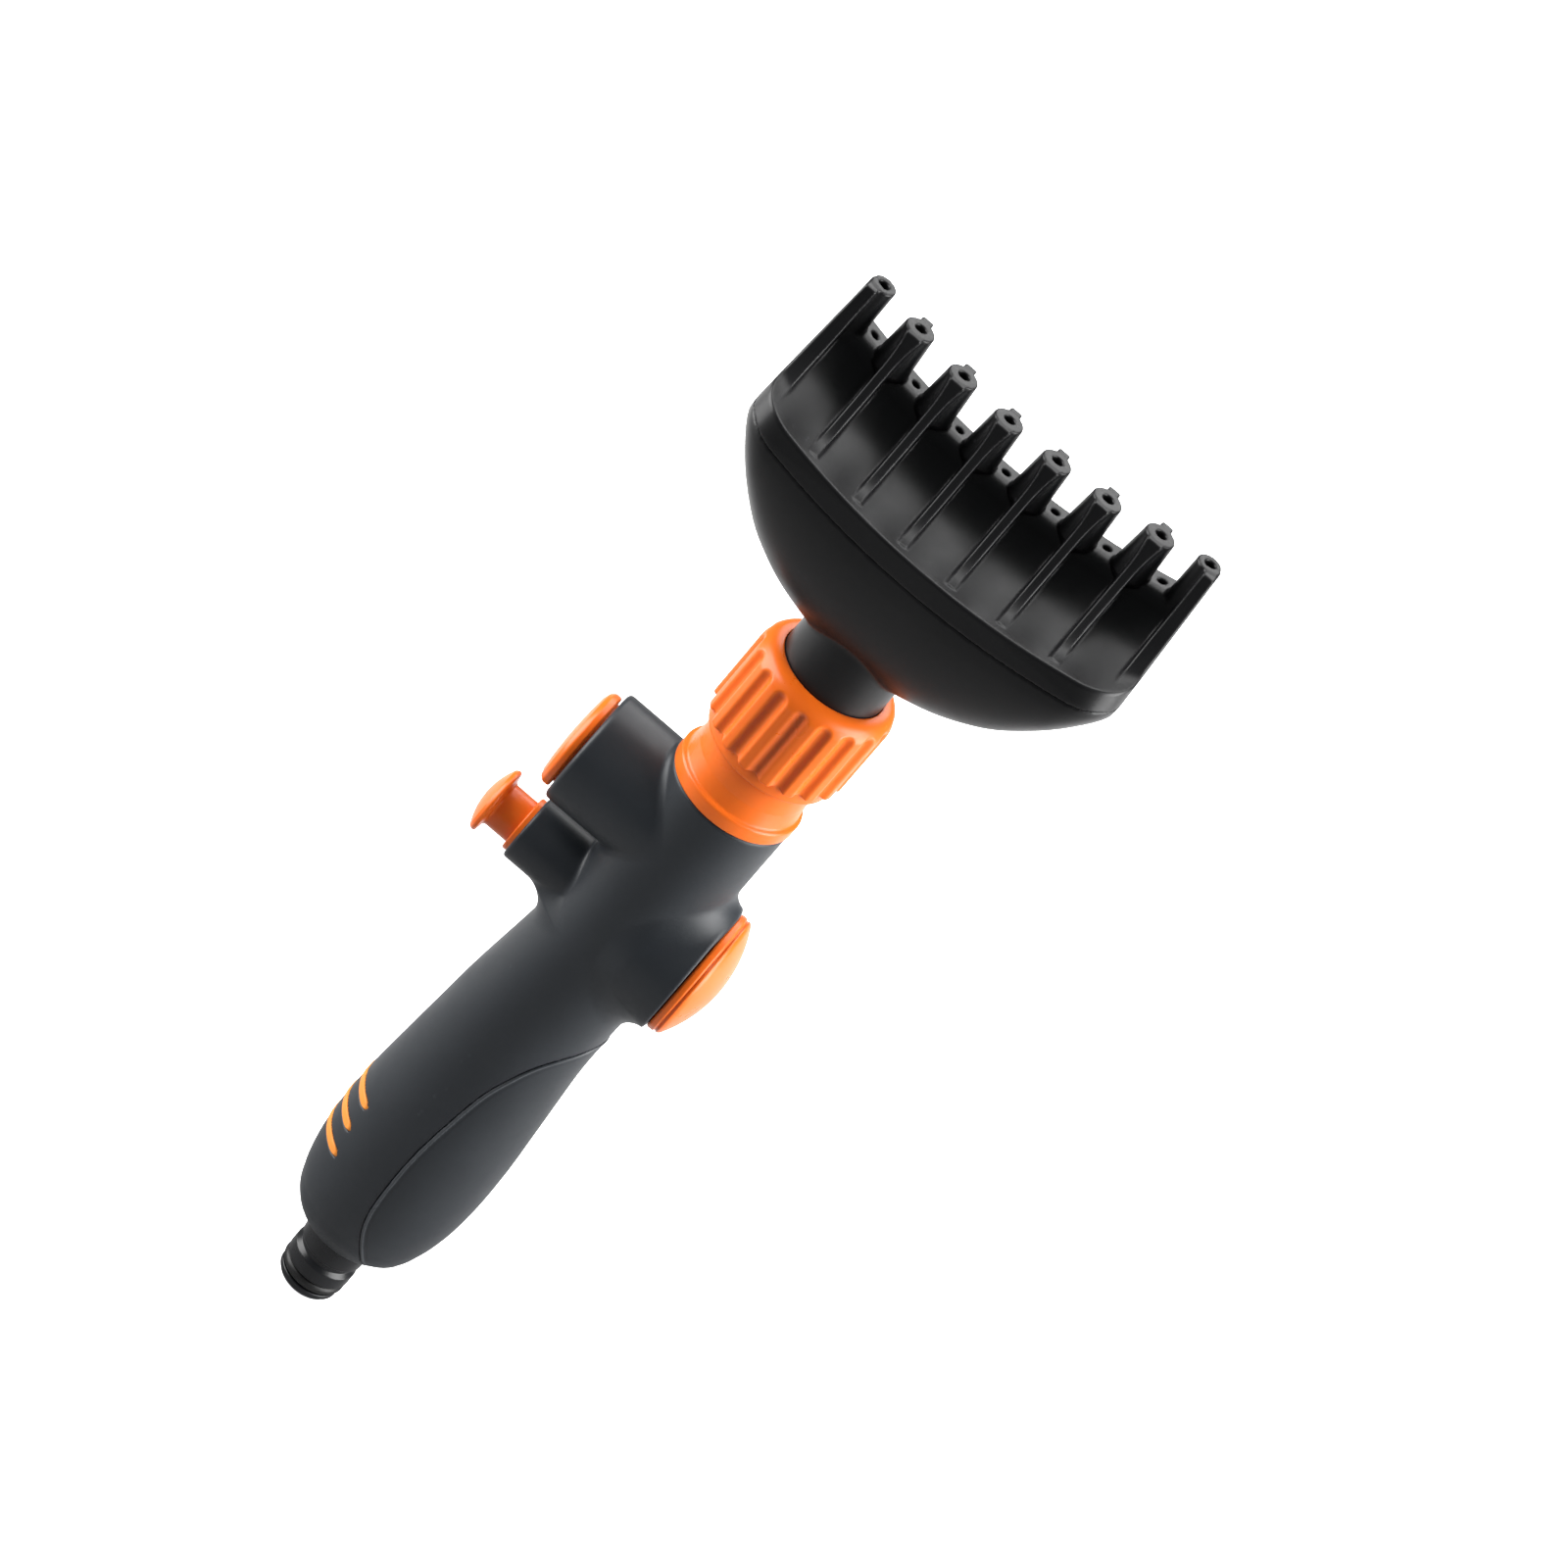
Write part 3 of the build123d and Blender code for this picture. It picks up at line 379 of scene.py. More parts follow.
GRIP_CURVE = smooth_curve(GRIP_SECTIONS)
GRIP_SLOPE = np.gradient(GRIP_CURVE[1], GRIP_CURVE[0])
PAD_CURVE = smooth_curve(PAD_EDGE)
PAD_SLOPE = np.gradient(PAD_CURVE[1], PAD_CURVE[0])


def grip_field(x, y, z, grow=0.0):
    """The oval grip, whose middle line moves over to the head's above SHIFT_START_Z."""
    share = np.clip((z - SHIFT_START_Z) / (SHIFT_END_Z - SHIFT_START_Z), 0, 1)
    centre = GRIP_X + (HEAD_X - GRIP_X) * (3 * share ** 2 - 2 * share ** 3)
    ratio = GRIP_DEPTH_RATIO + (1 - GRIP_DEPTH_RATIO) * share
    half = np.interp(z, *GRIP_CURVE)
    slope = np.interp(z, GRIP_CURVE[0], GRIP_SLOPE)
    return ellipse(x - centre, y, half + grow, half * ratio + grow) / np.sqrt(1 + slope ** 2)


def handle_outside(x, y, z):
    """The outer form: grip, plunger boss, dome boss and soap boss with their fillets.

    The plunger boss has a small fillet on top and a wide one underneath. The dome boss narrows
    towards the grip, and its fillet and the soap boss's are tighter at the front and back."""
    form = rounded_and(grip_field(x, y, z), between(z, BODY_LOW_Z, BODY_TOP_Z), 0.6)
    plunger = rod_x(x, y, z, VALVE_Z, PLUNGER_BOSS_R, SHELL_LOW[0] + 1.5, HEAD_X, 0.9)
    under = np.clip((VALVE_Z - 2.0 - z) / 6.0, 0, 1)
    form = rounded_or(form, plunger, 1.0 + 7.0 * under)
    toward_face = np.minimum(np.abs(y) / 17.0, 1) ** 3
    taper = np.clip((11.0 - x) / 6.5, 0, 1.4)
    dome = rod_x(x, y, z, VALVE_Z, DOME_BOSS_R - 2.3 * taper ** 2, HEAD_X, SHELL_HIGH[0], 0.6)
    form = rounded_or(form, dome, 7.0 - 4.5 * toward_face)
    soap = rod_x(x, y, z, SOAP_Z, SOAP_BOSS_R, SHELL_LOW[0], HEAD_X, 1.4)
    return rounded_or(form, soap, 1.6 - 1.0 * toward_face)


def pad_region(x, z, grow=0.0):
    """Right of the pad's edge, and above its foot."""
    slope = np.interp(z, PAD_CURVE[0], PAD_SLOPE)
    beside = (np.interp(z, *PAD_CURVE) - x) / np.sqrt(1 + slope ** 2) - grow
    return rounded_and(beside, between(z, PAD_EDGE[0][0] - grow, PAD_END_Z), 2.0)


def stripe_region(y, z, height, length, grow=0.0):
    """One stripe seen from the left: a slot that narrows to round ends."""
    past = np.maximum(np.abs(y) - (length / 2 - STRIPE_TAPER), 0)
    slim = STRIPE_HALF_HEIGHT * np.sqrt(np.clip(1 - (past / STRIPE_TAPER) ** 2, 0.02, 1))
    return np.maximum(np.abs(z - height) - slim, np.abs(y) - length / 2) - grow


def handle_field(x, y, z):
    """The shell: the outer form, hollowed, with its bores and the seats of the pad and stripes."""
    form = handle_outside(x, y, z)
    room = np.maximum(grip_field(x, y, z, -WALL), between(z, BODY_LOW_Z + 3, BODY_TOP_Z - 3))
    form = np.maximum(form, -room)
    soap_bore = rod_x(x, y, z, SOAP_Z, SOAP_BORE_R, SHELL_LOW[0] - PAST, CUP_HIGH[0] + 0.2, PLAIN)
    housing_bore = rod_x(x, y, z, VALVE_Z, HOUSING_BORE_R, SHELL_LOW[0] - PAST, HEAD_X, PLAIN)
    dome_seat = rod_x(x, y, z, VALVE_Z, DOME_SEAT_R, DOME_SEAT_FLOOR_X, SHELL_HIGH[0] + PAST, PLAIN)
    for bore in (soap_bore, housing_bore, dome_seat):
        form = rounded_cut(form, bore, 0.3)
    tail_bore = rod_z(x, y, z, 0.0, 0.0, TAIL_BORE_R, BODY_LOW_Z - PAST, TAIL_BORE_TOP_Z, PLAIN)
    outlet_bore = rod_z(x, y, z, HEAD_X, 0.0, OUTLET_BORE_R, OUTLET_BORE_LOW_Z, BODY_TOP_Z + PAST, PLAIN)
    form = np.maximum(np.maximum(form, -tail_bore), -outlet_bore)
    skin = grip_field(x, y, z)
    pad_seat = np.maximum(pad_region(x, z, SEAT_GAP), -(skin + PAD_SEAT_DEPTH))
    form = np.maximum(form, -pad_seat)
    for height, length in STRIPES:
        seat = np.maximum(stripe_region(y, z, height, length, SEAT_GAP), -(skin + STRIPE_SEAT_DEPTH))
        form = np.maximum(form, -np.maximum(seat, x))
    return form


def pad_field(x, y, z):
    """The pad: nearly flush with the grip, with a slim raised bead along its edge."""
    region = pad_region(x, z)
    bead = BEAD_HEIGHT * np.sin(np.pi * np.clip(-region / BEAD_WIDTH, 0, 1)) ** 2
    skin = grip_field(x, y, z)
    top = skin - PAD_PROUD * np.clip(-region / 2, 0, 1) - bead
    return np.maximum(np.maximum(top, region), -(skin + PAD_DEPTH))


def stripe_field(x, y, z):
    """The three inlaid stripes, on the left half only."""
    skin = grip_field(x, y, z)
    form = None
    for height, length in STRIPES:
        stripe = rounded_and(skin - STRIPE_PROUD, stripe_region(y, z, height, length), 0.25)
        stripe = np.maximum(np.maximum(stripe, -(skin + STRIPE_DEPTH)), x)
        form = stripe if form is None else np.minimum(form, stripe)
    return form


# ---- nut ------------------------------------------------------------------------------------
NUT_GROOVES = 18
NUT_FIRST_GROOVE = math.radians(-90 + 2.8)
NUT_RADIUS = (NUT_HIGH[0] - NUT_LOW[0]) / 2
NUT_RIB_LOW_Z = NUT_LOW[2] + 3.0
NUT_SHOULDER = 4.7        # rounding of the top edge
NUT_GROOVE_R = 1.5
NUT_GROOVE_OUT = 0.25     # how far outside the nut's radius the grooves are centred
NUT_GROOVE_DROP = 4.4     # how far below the top the grooves' round ends are centred
NUT_RIB_ROUNDING = 1.1
NUT_LIP_IN = 1.4
NUT_BORE_R = 16.2
NUT_ROOF = 5.9            # thickness above the threaded bore
NUT_MOUTH_R = 14.1


def nut_field(x, y, z):
    """The union nut: ribs between round grooves, a plain lip below, and a stepped bore."""
    across = x - HEAD_X
    radius = np.hypot(across, y)
    ribbed = rounded_and(radius - NUT_RADIUS, NUT_RIB_LOW_Z - z, 0.5)
    ribbed = rounded_and(ribbed, z - NUT_HIGH[2], NUT_SHOULDER)
    pitch = 2 * math.pi / NUT_GROOVES
    turn = np.arctan2(y, across) - NUT_FIRST_GROOVE
    turn = turn - pitch * np.round(turn / pitch)
    groove_out = radius * np.cos(turn) - (NUT_RADIUS + NUT_GROOVE_OUT)
    groove_side = radius * np.sin(turn)
    past_top = np.maximum(z - (NUT_HIGH[2] - NUT_GROOVE_DROP), 0)
    groove = np.sqrt(groove_out ** 2 + groove_side ** 2 + past_top ** 2) - NUT_GROOVE_R
    ribbed = rounded_cut(ribbed, groove, NUT_RIB_ROUNDING)
    lip = rounded_and(radius - (NUT_RADIUS - NUT_LIP_IN), between(z, NUT_LOW[2], NUT_RIB_LOW_Z + 3), 0.7)
    form = np.minimum(ribbed, lip)
    bore = rod_z(x, y, z, HEAD_X, 0, NUT_BORE_R, NUT_LOW[2] - 5, NUT_HIGH[2] - NUT_ROOF, PLAIN)
    return rounded_cut(np.maximum(form, -bore), radius - NUT_MOUTH_R, 0.2)


# ---- head -----------------------------------------------------------------------------------
SMILE_R = 210.0           # radius of the seam's rise towards the ends of the comb
CORNER_R = 11.0
BOWL_DROP = [             # distance from the middle, and the bowl's depth below the seam
    (0.0, 36.2), (15.0, 34.6), (29.0, 30.5), (37.5, 25.8),
    (43.0, 20.8), (47.6, 15.6), (51.3, 10.8), (54.8, 6.4),
]
BOWL_CURVE = smooth_curve(BOWL_DROP)
RIM_Z = SEAM_Z + 6.2
PLATEAU_Z = SEAM_Z + 21.4
TIP_Z = SEAM_Z + 34.0
LEDGE_WIDTH = 2.3
TOOTH_PITCH = 14.5
TOOTH_Y = 9.2
END_TOOTH_X = 49.2
NOZZLE_R = 1.5
JET_R = 1.0
JET_Y = 12.0
SIDE_LEAN = math.tan(math.radians(4.0))
PANEL_BACK_Y = 6.0        # where the concave panel meets the plateau
PLATEAU_BACK_Y = 16.0
BACK_ACROSS = 0.944       # the sloping back's normal, along Y and along the height
BACK_UP = 0.329
NECK_R = 14.0
NECK_TOP_Z = 258.0
NECK_BORE_R = 11.0
FLANGE_R = 15.7
FLANGE_LOW = 8.6          # heights above the spigot's end
FLANGE_HIGH = 11.6
SPIGOT_R = 12.45
SPIGOT_BORE_R = 9.5
RING_SEAT_R = 11.1
RING_SEAT_LOW_Z = 224.6
RING_SEAT_HIGH_Z = 226.4
FIN_LIFT = 16.0           # how far above the tips the fins' sweep is centred, so that they lean forward


def smile(offset):
    """Rise of the seam, rim and tips at a distance from the middle."""
    return offset ** 2 / (2 * SMILE_R)


def radial_height(across, z):
    """Height above the seam, measured along the smile's radius, given as a height at mid width."""
    centre_z = SEAM_Z + SMILE_R
    return centre_z - np.hypot(across, z - centre_z)


def plan_field(across, y, shrink=0.0):
    """The head's rounded outline seen from above."""
    side = np.abs(across) - (HEAD_HALF_WIDTH - shrink - CORNER_R)
    deep = np.abs(y) - (HEAD_HALF_DEPTH - shrink - CORNER_R)
    outer = np.hypot(np.maximum(side, 0), np.maximum(deep, 0))
    return outer + np.minimum(np.maximum(side, deep), 0) - CORNER_R


def bowl_reach(across, y, z):
    """Above 0 outside the bowl; its scale is evened out by bowl_outside."""
    across = np.abs(across)
    drop = np.interp(across, *BOWL_CURVE)
    into_corner = np.maximum(across - (HEAD_HALF_WIDTH - CORNER_R), 0)
    deep = HEAD_HALF_DEPTH - CORNER_R + np.sqrt(np.maximum(CORNER_R ** 2 - into_corner ** 2, 1.0))
    under = np.maximum(SEAM_Z + smile(across) - z, 0)
    return np.sqrt((y / deep) ** 2 + (under / drop) ** 2 + 1e-9) - 1


def bowl_outside(across, y, z):
    """First-order distance to the bowl's outer surface."""
    here = bowl_reach(across, y, z)
    reach = 0.05
    slope_x = (bowl_reach(across + reach, y, z) - here) / reach
    slope_y = (bowl_reach(across, y + reach, z) - here) / reach
    slope_z = (bowl_reach(across, y, z + reach) - here) / reach
    steep = np.sqrt(slope_x ** 2 + slope_y ** 2 + slope_z ** 2)
    return here / np.maximum(steep, 0.012)


def bowl_field(x, y, z):
    """The hollow bowl with its neck, flange, spigot and the inner ledge for the gasket."""
    across = x - HEAD_X
    level = radial_height(across, z)
    outside = np.maximum(bowl_outside(across, y, z), np.abs(across) - HEAD_HALF_WIDTH)
    outside = rounded_and(outside, plan_field(across, y), 0.3)
    end_z = BOWL_LOW[2]
    neck = rod_z(x, y, z, HEAD_X, 0, NECK_R, end_z + FLANGE_HIGH, NECK_TOP_Z, PLAIN)
    form = rounded_or(outside, neck, 0.5)
    form = np.maximum(form, -(outside + SKIN))
    flange = rod_z(x, y, z, HEAD_X, 0, FLANGE_R, end_z + FLANGE_LOW, end_z + FLANGE_HIGH, 0.3)
    spigot = rod_z(x, y, z, HEAD_X, 0, SPIGOT_R, end_z, end_z + 9, 0.4)
    ring_seat = np.maximum(between(z, RING_SEAT_LOW_Z, RING_SEAT_HIGH_Z), RING_SEAT_R - np.hypot(across, y))
    form = np.minimum(form, np.minimum(flange, np.maximum(spigot, -ring_seat)))
    form = np.maximum(form, -rod_z(x, y, z, HEAD_X, 0, SPIGOT_BORE_R, 200.0, 237.0, PLAIN))
    form = np.maximum(form, -rod_z(x, y, z, HEAD_X, 0, NECK_BORE_R, 236.0, 262.0, PLAIN))
    plan = plan_field(across, y)
    ledge = np.maximum(np.maximum(plan + 1.0, -(plan + 4.4)), between(level, SEAM_Z - 3.2, SEAM_Z - 1.2))
    form = np.minimum(form, ledge)
    return rounded_and(form, level - SEAM_Z, 0.2)


def comb_block_field(across, y, z):
    """The comb plate without its teeth: rim, ledge, concave panel, plateau and sloping back."""
    level = radial_height(across, z)
    ledge_y = -HEAD_HALF_DEPTH + LEDGE_WIDTH
    panel_top = PLATEAU_Z - 1.5
    back = (y - PLATEAU_BACK_Y) * BACK_ACROSS + (level - PLATEAU_Z) * BACK_UP
    block = rounded_and(level - PLATEAU_Z, back, 0.8)
    hollow = ellipse(y - ledge_y, level - panel_top, PANEL_BACK_Y - ledge_y, panel_top - RIM_Z)
    hollow = np.minimum(hollow, np.maximum(RIM_Z - level, y - ledge_y))
    hollow = np.minimum(hollow, np.maximum(panel_top - level, y - PANEL_BACK_Y))
    lip_round = 0.5 + 3.2 * np.clip((level - PLATEAU_Z + 12.0) / 6.0, 0, 1)
    return rounded_cut(block, hollow, lip_round)


def fin_field(side, y, z, half_width, tip_z, front_y, foot_y, foot_z, edge):
    """An upright fin whose front edge sweeps down and forwards to its foot."""
    above = tip_z + FIN_LIFT
    reach = (front_y - foot_y) / math.sqrt(1 - (FIN_LIFT / (TIP_Z + FIN_LIFT - RIM_Z)) ** 2)
    sweep = ellipse(y - foot_y, z - above, reach, above - foot_z)
    fin = rounded_cut(side - half_width, np.minimum(sweep, y - foot_y), edge)
    return rounded_and(np.maximum(fin, y - TOOTH_Y), z - tip_z, 0.35)


def teeth_field(across, y, z):
    """Six hollow teeth with front and rear fins, and the two end teeth in the side walls."""
    step = np.clip(np.round((across - TOOTH_PITCH / 2) / TOOTH_PITCH), -3, 2)
    offset = TOOTH_PITCH * (step + 0.5)
    side = np.abs(across - offset)
    rise = smile(offset)
    tip = TIP_Z + rise
    post = rounded_and(np.hypot(side, y - TOOTH_Y) - 3.95 - 0.075 * (tip - z), z - tip, 0.45)
    below = PLATEAU_Z - 0.5 + rise - z
    post = np.maximum(post, (np.hypot(side, y - TOOTH_Y) - 4.8 + 0.8 * below) * 0.78)
    front = TOOTH_Y - 4.7
    foot_y = -HEAD_HALF_DEPTH + 3.4
    fin_half = 1.25 + 0.95 * np.clip((z - tip + 10.0) / 10.0, 0, 1) ** 2
    fin = fin_field(side, y, z, fin_half, tip, front, foot_y, RIM_Z + 0.2 + rise, 0.5)
    fin = np.maximum(fin, RIM_Z - 2.0 + rise - z)
    rear = rounded_and(side - 1.6, between(y, TOOTH_Y, TOOTH_Y + 5.7), 0.4)
    rear = np.maximum(rounded_and(rear, z - tip, 0.4), PLATEAU_Z - 2.0 + rise - z)
    teeth = rounded_or(rounded_or(post, fin, 0.7), rear, 0.5)
    end_side = np.abs(np.abs(across) - END_TOOTH_X)
    end_rise = smile(END_TOOTH_X)
    end_tip = TIP_Z + end_rise
    end_post = rounded_and(np.hypot(end_side, y - TOOTH_Y) - 3.4, z - end_tip, 0.45)
    end_post = np.maximum(end_post, PLATEAU_Z - 6.0 + end_rise - z)
    up = np.clip((z - RIM_Z) / (end_tip - RIM_Z), 0, 1)
    inner_face = HEAD_HALF_WIDTH - 4.6 + 1.4 * up - SIDE_LEAN * (z - RIM_Z)
    wall_side = inner_face - np.abs(across)
    wall_foot_y = -HEAD_HALF_DEPTH + 5.6
    wall = fin_field(wall_side, y, z, 0.0, end_tip, TOOTH_Y - 5.4, wall_foot_y, RIM_Z + 0.2 + end_rise, 0.6)
    wall = np.maximum(wall, RIM_Z - 2.0 - z)
    return np.minimum(teeth, rounded_or(end_post, wall, 0.8))


def comb_field(x, y, z):
    """The hollow comb plate with its teeth, the teeth's nozzles and the jets between them."""
    across = x - HEAD_X
    level = radial_height(across, z)
    block = comb_block_field(across, y, z)
    form = rounded_or(block, teeth_field(across, y, z), 0.7)
    above_rim = np.maximum(z - RIM_Z, 0)
    outline = plan_field(across, y, SIDE_LEAN * above_rim)
    form = rounded_and(form, outline, 0.7)
    plan = plan_field(across, y)
    room = np.maximum(block + SKIN, plan + 4.6)
    form = np.maximum(form, -room)
    tooth_x = TOOTH_PITCH * (np.clip(np.round(across / TOOTH_PITCH - 0.5), -3, 2) + 0.5)
    jet_x = TOOTH_PITCH * np.clip(np.round(across / TOOTH_PITCH), -3, 3)
    form = rounded_cut(form, np.hypot(across - tooth_x, y - TOOTH_Y) - NOZZLE_R, 0.25)
    form = rounded_cut(form, np.hypot(np.abs(across) - END_TOOTH_X, y - TOOTH_Y) - NOZZLE_R, 0.25)
    form = rounded_cut(form, np.hypot(across - jet_x, y - JET_Y) - JET_R, 0.6)
    return rounded_and(form, SEAM_Z - level, 0.2)


# ---- materials ------------------------------------------------------------------------------
def node(tree, kind, **settings):
    made = tree.nodes.new(kind)
    for key, value in settings.items():
        setattr(made, key, value)
    return made


def noise(tree, coords, scale, detail, roughness=0.5):
    made = node(tree, "ShaderNodeTexNoise")
    made.inputs["Scale"].default_value = scale
    made.inputs["Detail"].default_value = detail
    made.inputs["Roughness"].default_value = roughness
    tree.links.new(coords, made.inputs["Vector"])
    return made.outputs["Fac"]


def remap(tree, value, low, high, to_low, to_high):
    made = node(tree, "ShaderNodeMapRange")
    made.inputs["From Min"].default_value = low
    made.inputs["From Max"].default_value = high
    made.inputs["To Min"].default_value = to_low
    made.inputs["To Max"].default_value = to_high
    tree.links.new(value, made.inputs["Value"])
    return made.outputs["Result"]


def mix_colour(tree, share, first, second):
    made = node(tree, "ShaderNodeMix", data_type="RGBA")
    for place, value in ((0, share), (6, first), (7, second)):
        if isinstance(value, (tuple, list)):
            made.inputs[place].default_value = (*value, 1.0)
        else:
            tree.links.new(value, made.inputs[place])
    return made.outputs[2]


def plastic(name, colour, shade, wear_and_highlight, painted_hollow_shade, roughness, grain_mm, grain_depth, shine=0.5, soft=0.0,
            metal=0.0):
    """A moulded finish: mottled colour, smudged roughness, moulding grain, lighter edges and darker hollows.

    colour and shade are mixed by a slow mottle; the edge colour along the edges is partly wear and partly a
    painted highlight, and the hollow colour in hollows is painted shade."""
    material = bpy.data.materials.new(name)
    material.use_nodes = True
    tree = material.node_tree
    shader = tree.nodes["Principled BSDF"]
    coords = node(tree, "ShaderNodeTexCoord").outputs["Object"]
    mottle = remap(tree, noise(tree, coords, 45, 4), 0.3, 0.7, 0, 1)
    base = mix_colour(tree, mottle, colour, shade)
    points = node(tree, "ShaderNodeNewGeometry").outputs["Pointiness"]
    # painted shade: hollows (low pointiness) are darkened towards the hollow colour
    base = mix_colour(tree, remap(tree, points, 0.468, 0.39, 0, 1), base, painted_hollow_shade)
    # edges (high pointiness) lightened with a noisy share: partly wear, partly a painted highlight on
    # rounded edges
    edge = remap(tree, points, 0.55, 0.66, 0, 1)
    wear_and_highlight_share = node(tree, "ShaderNodeMath", operation="MULTIPLY")
    tree.links.new(edge, wear_and_highlight_share.inputs[0])
    tree.links.new(remap(tree, noise(tree, coords, 260, 5), 0.35, 0.65, 0.25, 0.9), wear_and_highlight_share.inputs[1])
    base = mix_colour(tree, wear_and_highlight_share.outputs[0], base, wear_and_highlight)
    tree.links.new(base, shader.inputs["Base Color"])
    smudge = noise(tree, coords, 70, 5, 0.6)
    smudged = remap(tree, smudge, 0.3, 0.7, roughness - 0.05, roughness + 0.06)
    tree.links.new(smudged, shader.inputs["Roughness"])
    grain = noise(tree, coords, 1 / (grain_mm * MM), 2)
    wave = noise(tree, coords, 60, 2)
    slow = node(tree, "ShaderNodeBump")
    slow.inputs["Strength"].default_value = 0.25
    slow.inputs["Distance"].default_value = 0.0004
    tree.links.new(wave, slow.inputs["Height"])
    bump = node(tree, "ShaderNodeBump")
    bump.inputs["Strength"].default_value = grain_depth
    bump.inputs["Distance"].default_value = grain_mm * MM * 0.5
    tree.links.new(grain, bump.inputs["Height"])
    tree.links.new(slow.outputs["Normal"], bump.inputs["Normal"])
    tree.links.new(bump.outputs["Normal"], shader.inputs["Normal"])
    shader.inputs["Specular IOR Level"].default_value = shine
    shader.inputs["Metallic"].default_value = metal
    if soft:
        shader.inputs["Subsurface Weight"].default_value = soft
        shader.inputs["Subsurface Radius"].default_value = (1.0, 0.35, 0.1)
        shader.inputs["Subsurface Scale"].default_value = 0.0015
    return material


# each finish: colour, shade, edge colour (wear plus painted highlight), hollow colour (painted shade),
# roughness, grain in mm and grain depth
MATERIALS = {
    "soft_touch": plastic(
        "soft_touch", (0.0155, 0.0185, 0.0225), (0.0178, 0.021, 0.0255), (0.029, 0.033, 0.038),
        (0.010, 0.012, 0.0145), 0.44, 0.35, 0.08, shine=0.36),
    "soft_pad": plastic(
        "soft_pad", (0.015, 0.018, 0.022), (0.0172, 0.0205, 0.025), (0.029, 0.033, 0.038),
        (0.010, 0.012, 0.0145), 0.46, 0.35, 0.10, shine=0.36),
    # the pad's bead: a lighter grey that paints the highlight along the raised bead
    "soft_pad_bead_painted_highlight": plastic(
        "soft_pad_bead_painted_highlight", (0.04, 0.044, 0.05), (0.045, 0.05, 0.056), (0.055, 0.06, 0.066),
        (0.03, 0.033, 0.036), 0.4, 0.35, 0.08, shine=0.35),
    "orange_plastic": plastic(
        "orange_plastic", (0.80, 0.145, 0.010), (0.74, 0.125, 0.008), (0.86, 0.22, 0.03),
        (0.46, 0.035, 0.006), 0.30, 0.5, 0.03, shine=0.35, soft=0.1),
    "stripe_orange": plastic(
        "stripe_orange", (0.80, 0.27, 0.045), (0.76, 0.25, 0.04), (0.85, 0.32, 0.07),
        (0.6, 0.16, 0.03), 0.4, 0.4, 0.05, shine=0.2),
    "black_gloss": plastic(
        "black_gloss", (0.006, 0.0065, 0.0075), (0.008, 0.0085, 0.010), (0.03, 0.03, 0.03),
        (0.004, 0.004, 0.005), 0.3, 0.5, 0.03, shine=0.38),
    "head_plastic": plastic(
        "head_plastic", (0.0045, 0.0045, 0.005), (0.006, 0.006, 0.0065), (0.03, 0.03, 0.033),
        (0.003, 0.003, 0.003), 0.36, 0.4, 0.04, shine=0.3),
    "inner_plastic": plastic(
        "inner_plastic", (0.60, 0.60, 0.57), (0.55, 0.55, 0.52), (0.7, 0.7, 0.68),
        (0.5, 0.5, 0.47), 0.4, 0.4, 0.05),
    "seal_rubber": plastic(
        "seal_rubber", (0.008, 0.008, 0.008), (0.011, 0.011, 0.011), (0.03, 0.03, 0.03),
        (0.005, 0.005, 0.005), 0.4, 0.3, 0.06, shine=0.3),
    "screw_steel": plastic(
        "screw_steel", (0.56, 0.56, 0.55), (0.5, 0.5, 0.5), (0.75, 0.75, 0.75),
        (0.35, 0.35, 0.35), 0.3, 0.15, 0.1, metal=1.0),
}


def finish_piece(piece, body, slot_name, *nodes):
    piece.data.materials.clear()
    piece.data.materials.append(MATERIALS[slot_name])
    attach(piece, body)
    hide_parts(*nodes)


# ---- build every replaced piece ---------------------------------------------------------------
def build_handle():
    shell = moulded("handle_shell_moulding", handle_field, SHELL_LOW, SHELL_HIGH, 0.5)
    finish_piece(shell, "handle", "soft_touch", "handle_shell")
    low, high = box_mm("palm_pad")
    pad = moulded("palm_pad_moulding", pad_field, low - 0.5, high + 0.5, 0.3)
    finish_piece(pad, "handle", "soft_pad", "palm_pad")
    # the bead's faces take the lighter material, a painted highlight along the pad's edge
    pad.data.materials.append(MATERIALS["soft_pad_bead_painted_highlight"])
    for face in pad.data.polygons:
        place = face.center / MM
        depth = -pad_region(place.x, place.z)
        face.material_index = int(0.1 < depth < BEAD_WIDTH - 0.2)
    low, high = box_mm("grip_stripes")
    stripes = moulded("grip_stripe_inlays", stripe_field, low - 0.5, high + 0.5, 0.25)
    finish_piece(stripes, "handle", "orange_plastic", "grip_stripes")
    stripes.data.materials[0] = MATERIALS["stripe_orange"]


def build_tail():
    ring = (TAIL_HIGH[0] - TAIL_LOW[0]) / 2
    corners = [
        (4.5, 0.0, 0.4), (7.4, 0.0, 0.7), (8.3, 1.3, 0.4), (8.3, 2.6, 0.3), (6.6, 2.6, 0.1), (6.6, 6.2, 0.1),
        (ring, 6.2, 0.5), (ring, 10.3, 0.5), (7.7, 11.3, 0.4), (7.7, 13.2, 0.3), (ring, 13.3, 0.5),
        (ring, BODY_LOW_Z, 0.2), (8.2, BODY_LOW_Z, 0.0), (8.2, TAIL_HIGH[2], 0.3), (4.5, TAIL_HIGH[2], 0.3),
    ]
    tail = turned("hose_tail_connector", corners, (0, 0, 0))
    finish_piece(tail, "handle", "black_gloss", "hose_tail")


